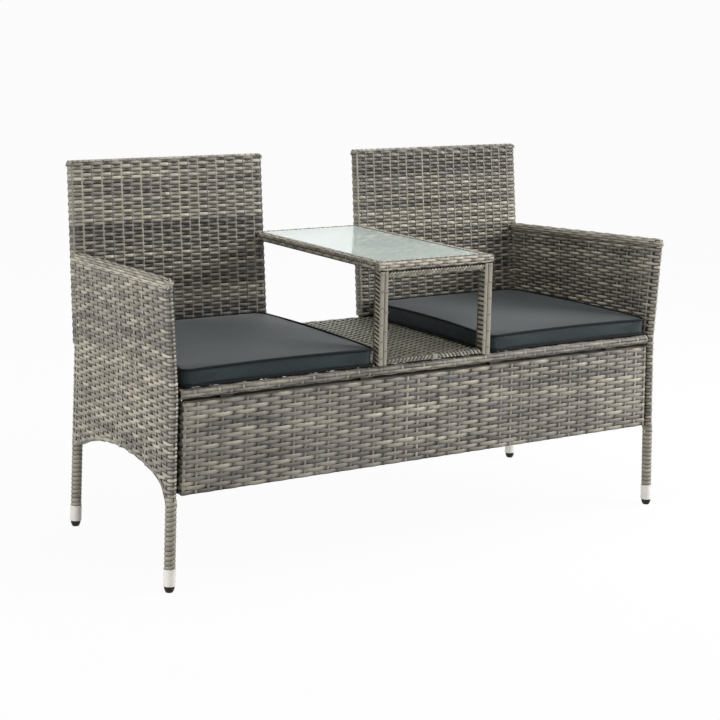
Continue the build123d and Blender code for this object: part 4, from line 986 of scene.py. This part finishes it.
def seen_directly(tree):
    """1 for what the camera sees, be it straight, in a mirror or through glass, and 0 for what only gives light."""
    ray = add(tree, "ShaderNodeLightPath", {})
    plain = add(tree, "ShaderNodeMath", {0: ray.outputs["Is Camera Ray"], 1: ray.outputs["Is Glossy Ray"]},
                operation="MAXIMUM")
    either = add(tree, "ShaderNodeMath", {0: plain.outputs[0], 1: ray.outputs["Is Transmission Ray"]},
                 operation="MAXIMUM")
    return either.outputs[0]


floor_mesh = bpy.data.meshes.new("floor")
floor_mesh.from_pydata([(x * floor_reach, y * floor_reach, 0) for x, y in corners], [], [(0, 1, 2, 3)])
floor = put("floor", floor_mesh)
# White paper: plain white to the eye with only a trace of shadow, and a dull reflector of light.
paper, tree, shader = finish_named("white_paper")
share = add(tree, "ShaderNodeMath", {0: seen_directly(tree), 1: 0.95}, operation="MULTIPLY")
white = add(tree, "ShaderNodeEmission", {"Color": (1, 1, 1, 1), "Strength": 1.0})
shader.inputs["Base Color"].default_value = (0.9, 0.9, 0.9, 1)
shader.inputs["Roughness"].default_value = 0.9
mixed = add(tree, "ShaderNodeMixShader", {0: share.outputs[0], 1: shader.outputs[0], 2: white.outputs[0]})
tree.links.new(mixed.outputs[0], tree.nodes["Material Output"].inputs["Surface"])
floor_mesh.materials.append(paper)

world = bpy.data.worlds.new("white_studio")
bpy.context.scene.world = world
world.use_nodes = True
tree = world.node_tree
sky = tree.nodes["Background"]
sky.inputs["Color"].default_value = (1, 1, 1, 1)
sky.inputs["Strength"].default_value = 0.3
white = add(tree, "ShaderNodeBackground", {"Color": (1, 1, 1, 1), "Strength": 1.0})
mixed = add(tree, "ShaderNodeMixShader", {0: seen_directly(tree), 1: sky.outputs[0], 2: white.outputs[0]})
tree.links.new(mixed.outputs[0], tree.nodes["World Output"].inputs["Surface"])


def lamp(name, place, aim, width, power):
    """A square soft lamp that faces a point of the bench."""
    light = bpy.data.lights.new(name, "AREA")
    light.size = width
    light.energy = power
    holder = put(name, light)
    holder.location = place
    way = np.array(place, float) - aim
    holder.rotation_euler = (np.arctan2(np.hypot(way[0], way[1]), way[2]), 0, np.arctan2(way[0], -way[1]))


lamp("key", (3.0, -1.6, 1.8), (0, 0, 0.45), 1.6, 110)
lamp("above", (0.0, 0.1, 3.2), (0, 0, 0.45), 2.0, 29)
lamp("low_left", (-2.9, -0.35, 0.35), (0, 0, 0.4), 1.0, 31)

# Camera. A long lens a little above the seat, to the left of the bench's front, tilted by about a degree.
azimuth, elevation, roll, distance = np.radians(-33.25), np.radians(11.88), np.radians(1.154), 4.148
back_way = np.array([np.sin(azimuth) * np.cos(elevation), -np.cos(azimuth) * np.cos(elevation), np.sin(elevation)])
right_way = np.array([np.cos(azimuth), np.sin(azimuth), 0.0])
up_way = np.cross(back_way, right_way)
turned_right = right_way * np.cos(roll) + up_way * np.sin(roll)
turned_up = up_way * np.cos(roll) - right_way * np.sin(roll)
lens = bpy.data.cameras.new("camera")
lens.lens = 88.8
lens.sensor_width = 36
camera = put("camera", lens)
aim = np.array([-0.0261, -0.0181, 0.3807])
matrix = np.eye(4)
matrix[:3] = np.stack([turned_right, turned_up, back_way, aim + back_way * distance], -1)
camera.matrix_world = Matrix(matrix.tolist())
bpy.context.scene.camera = camera
bpy.context.scene.view_settings.view_transform = "Standard"
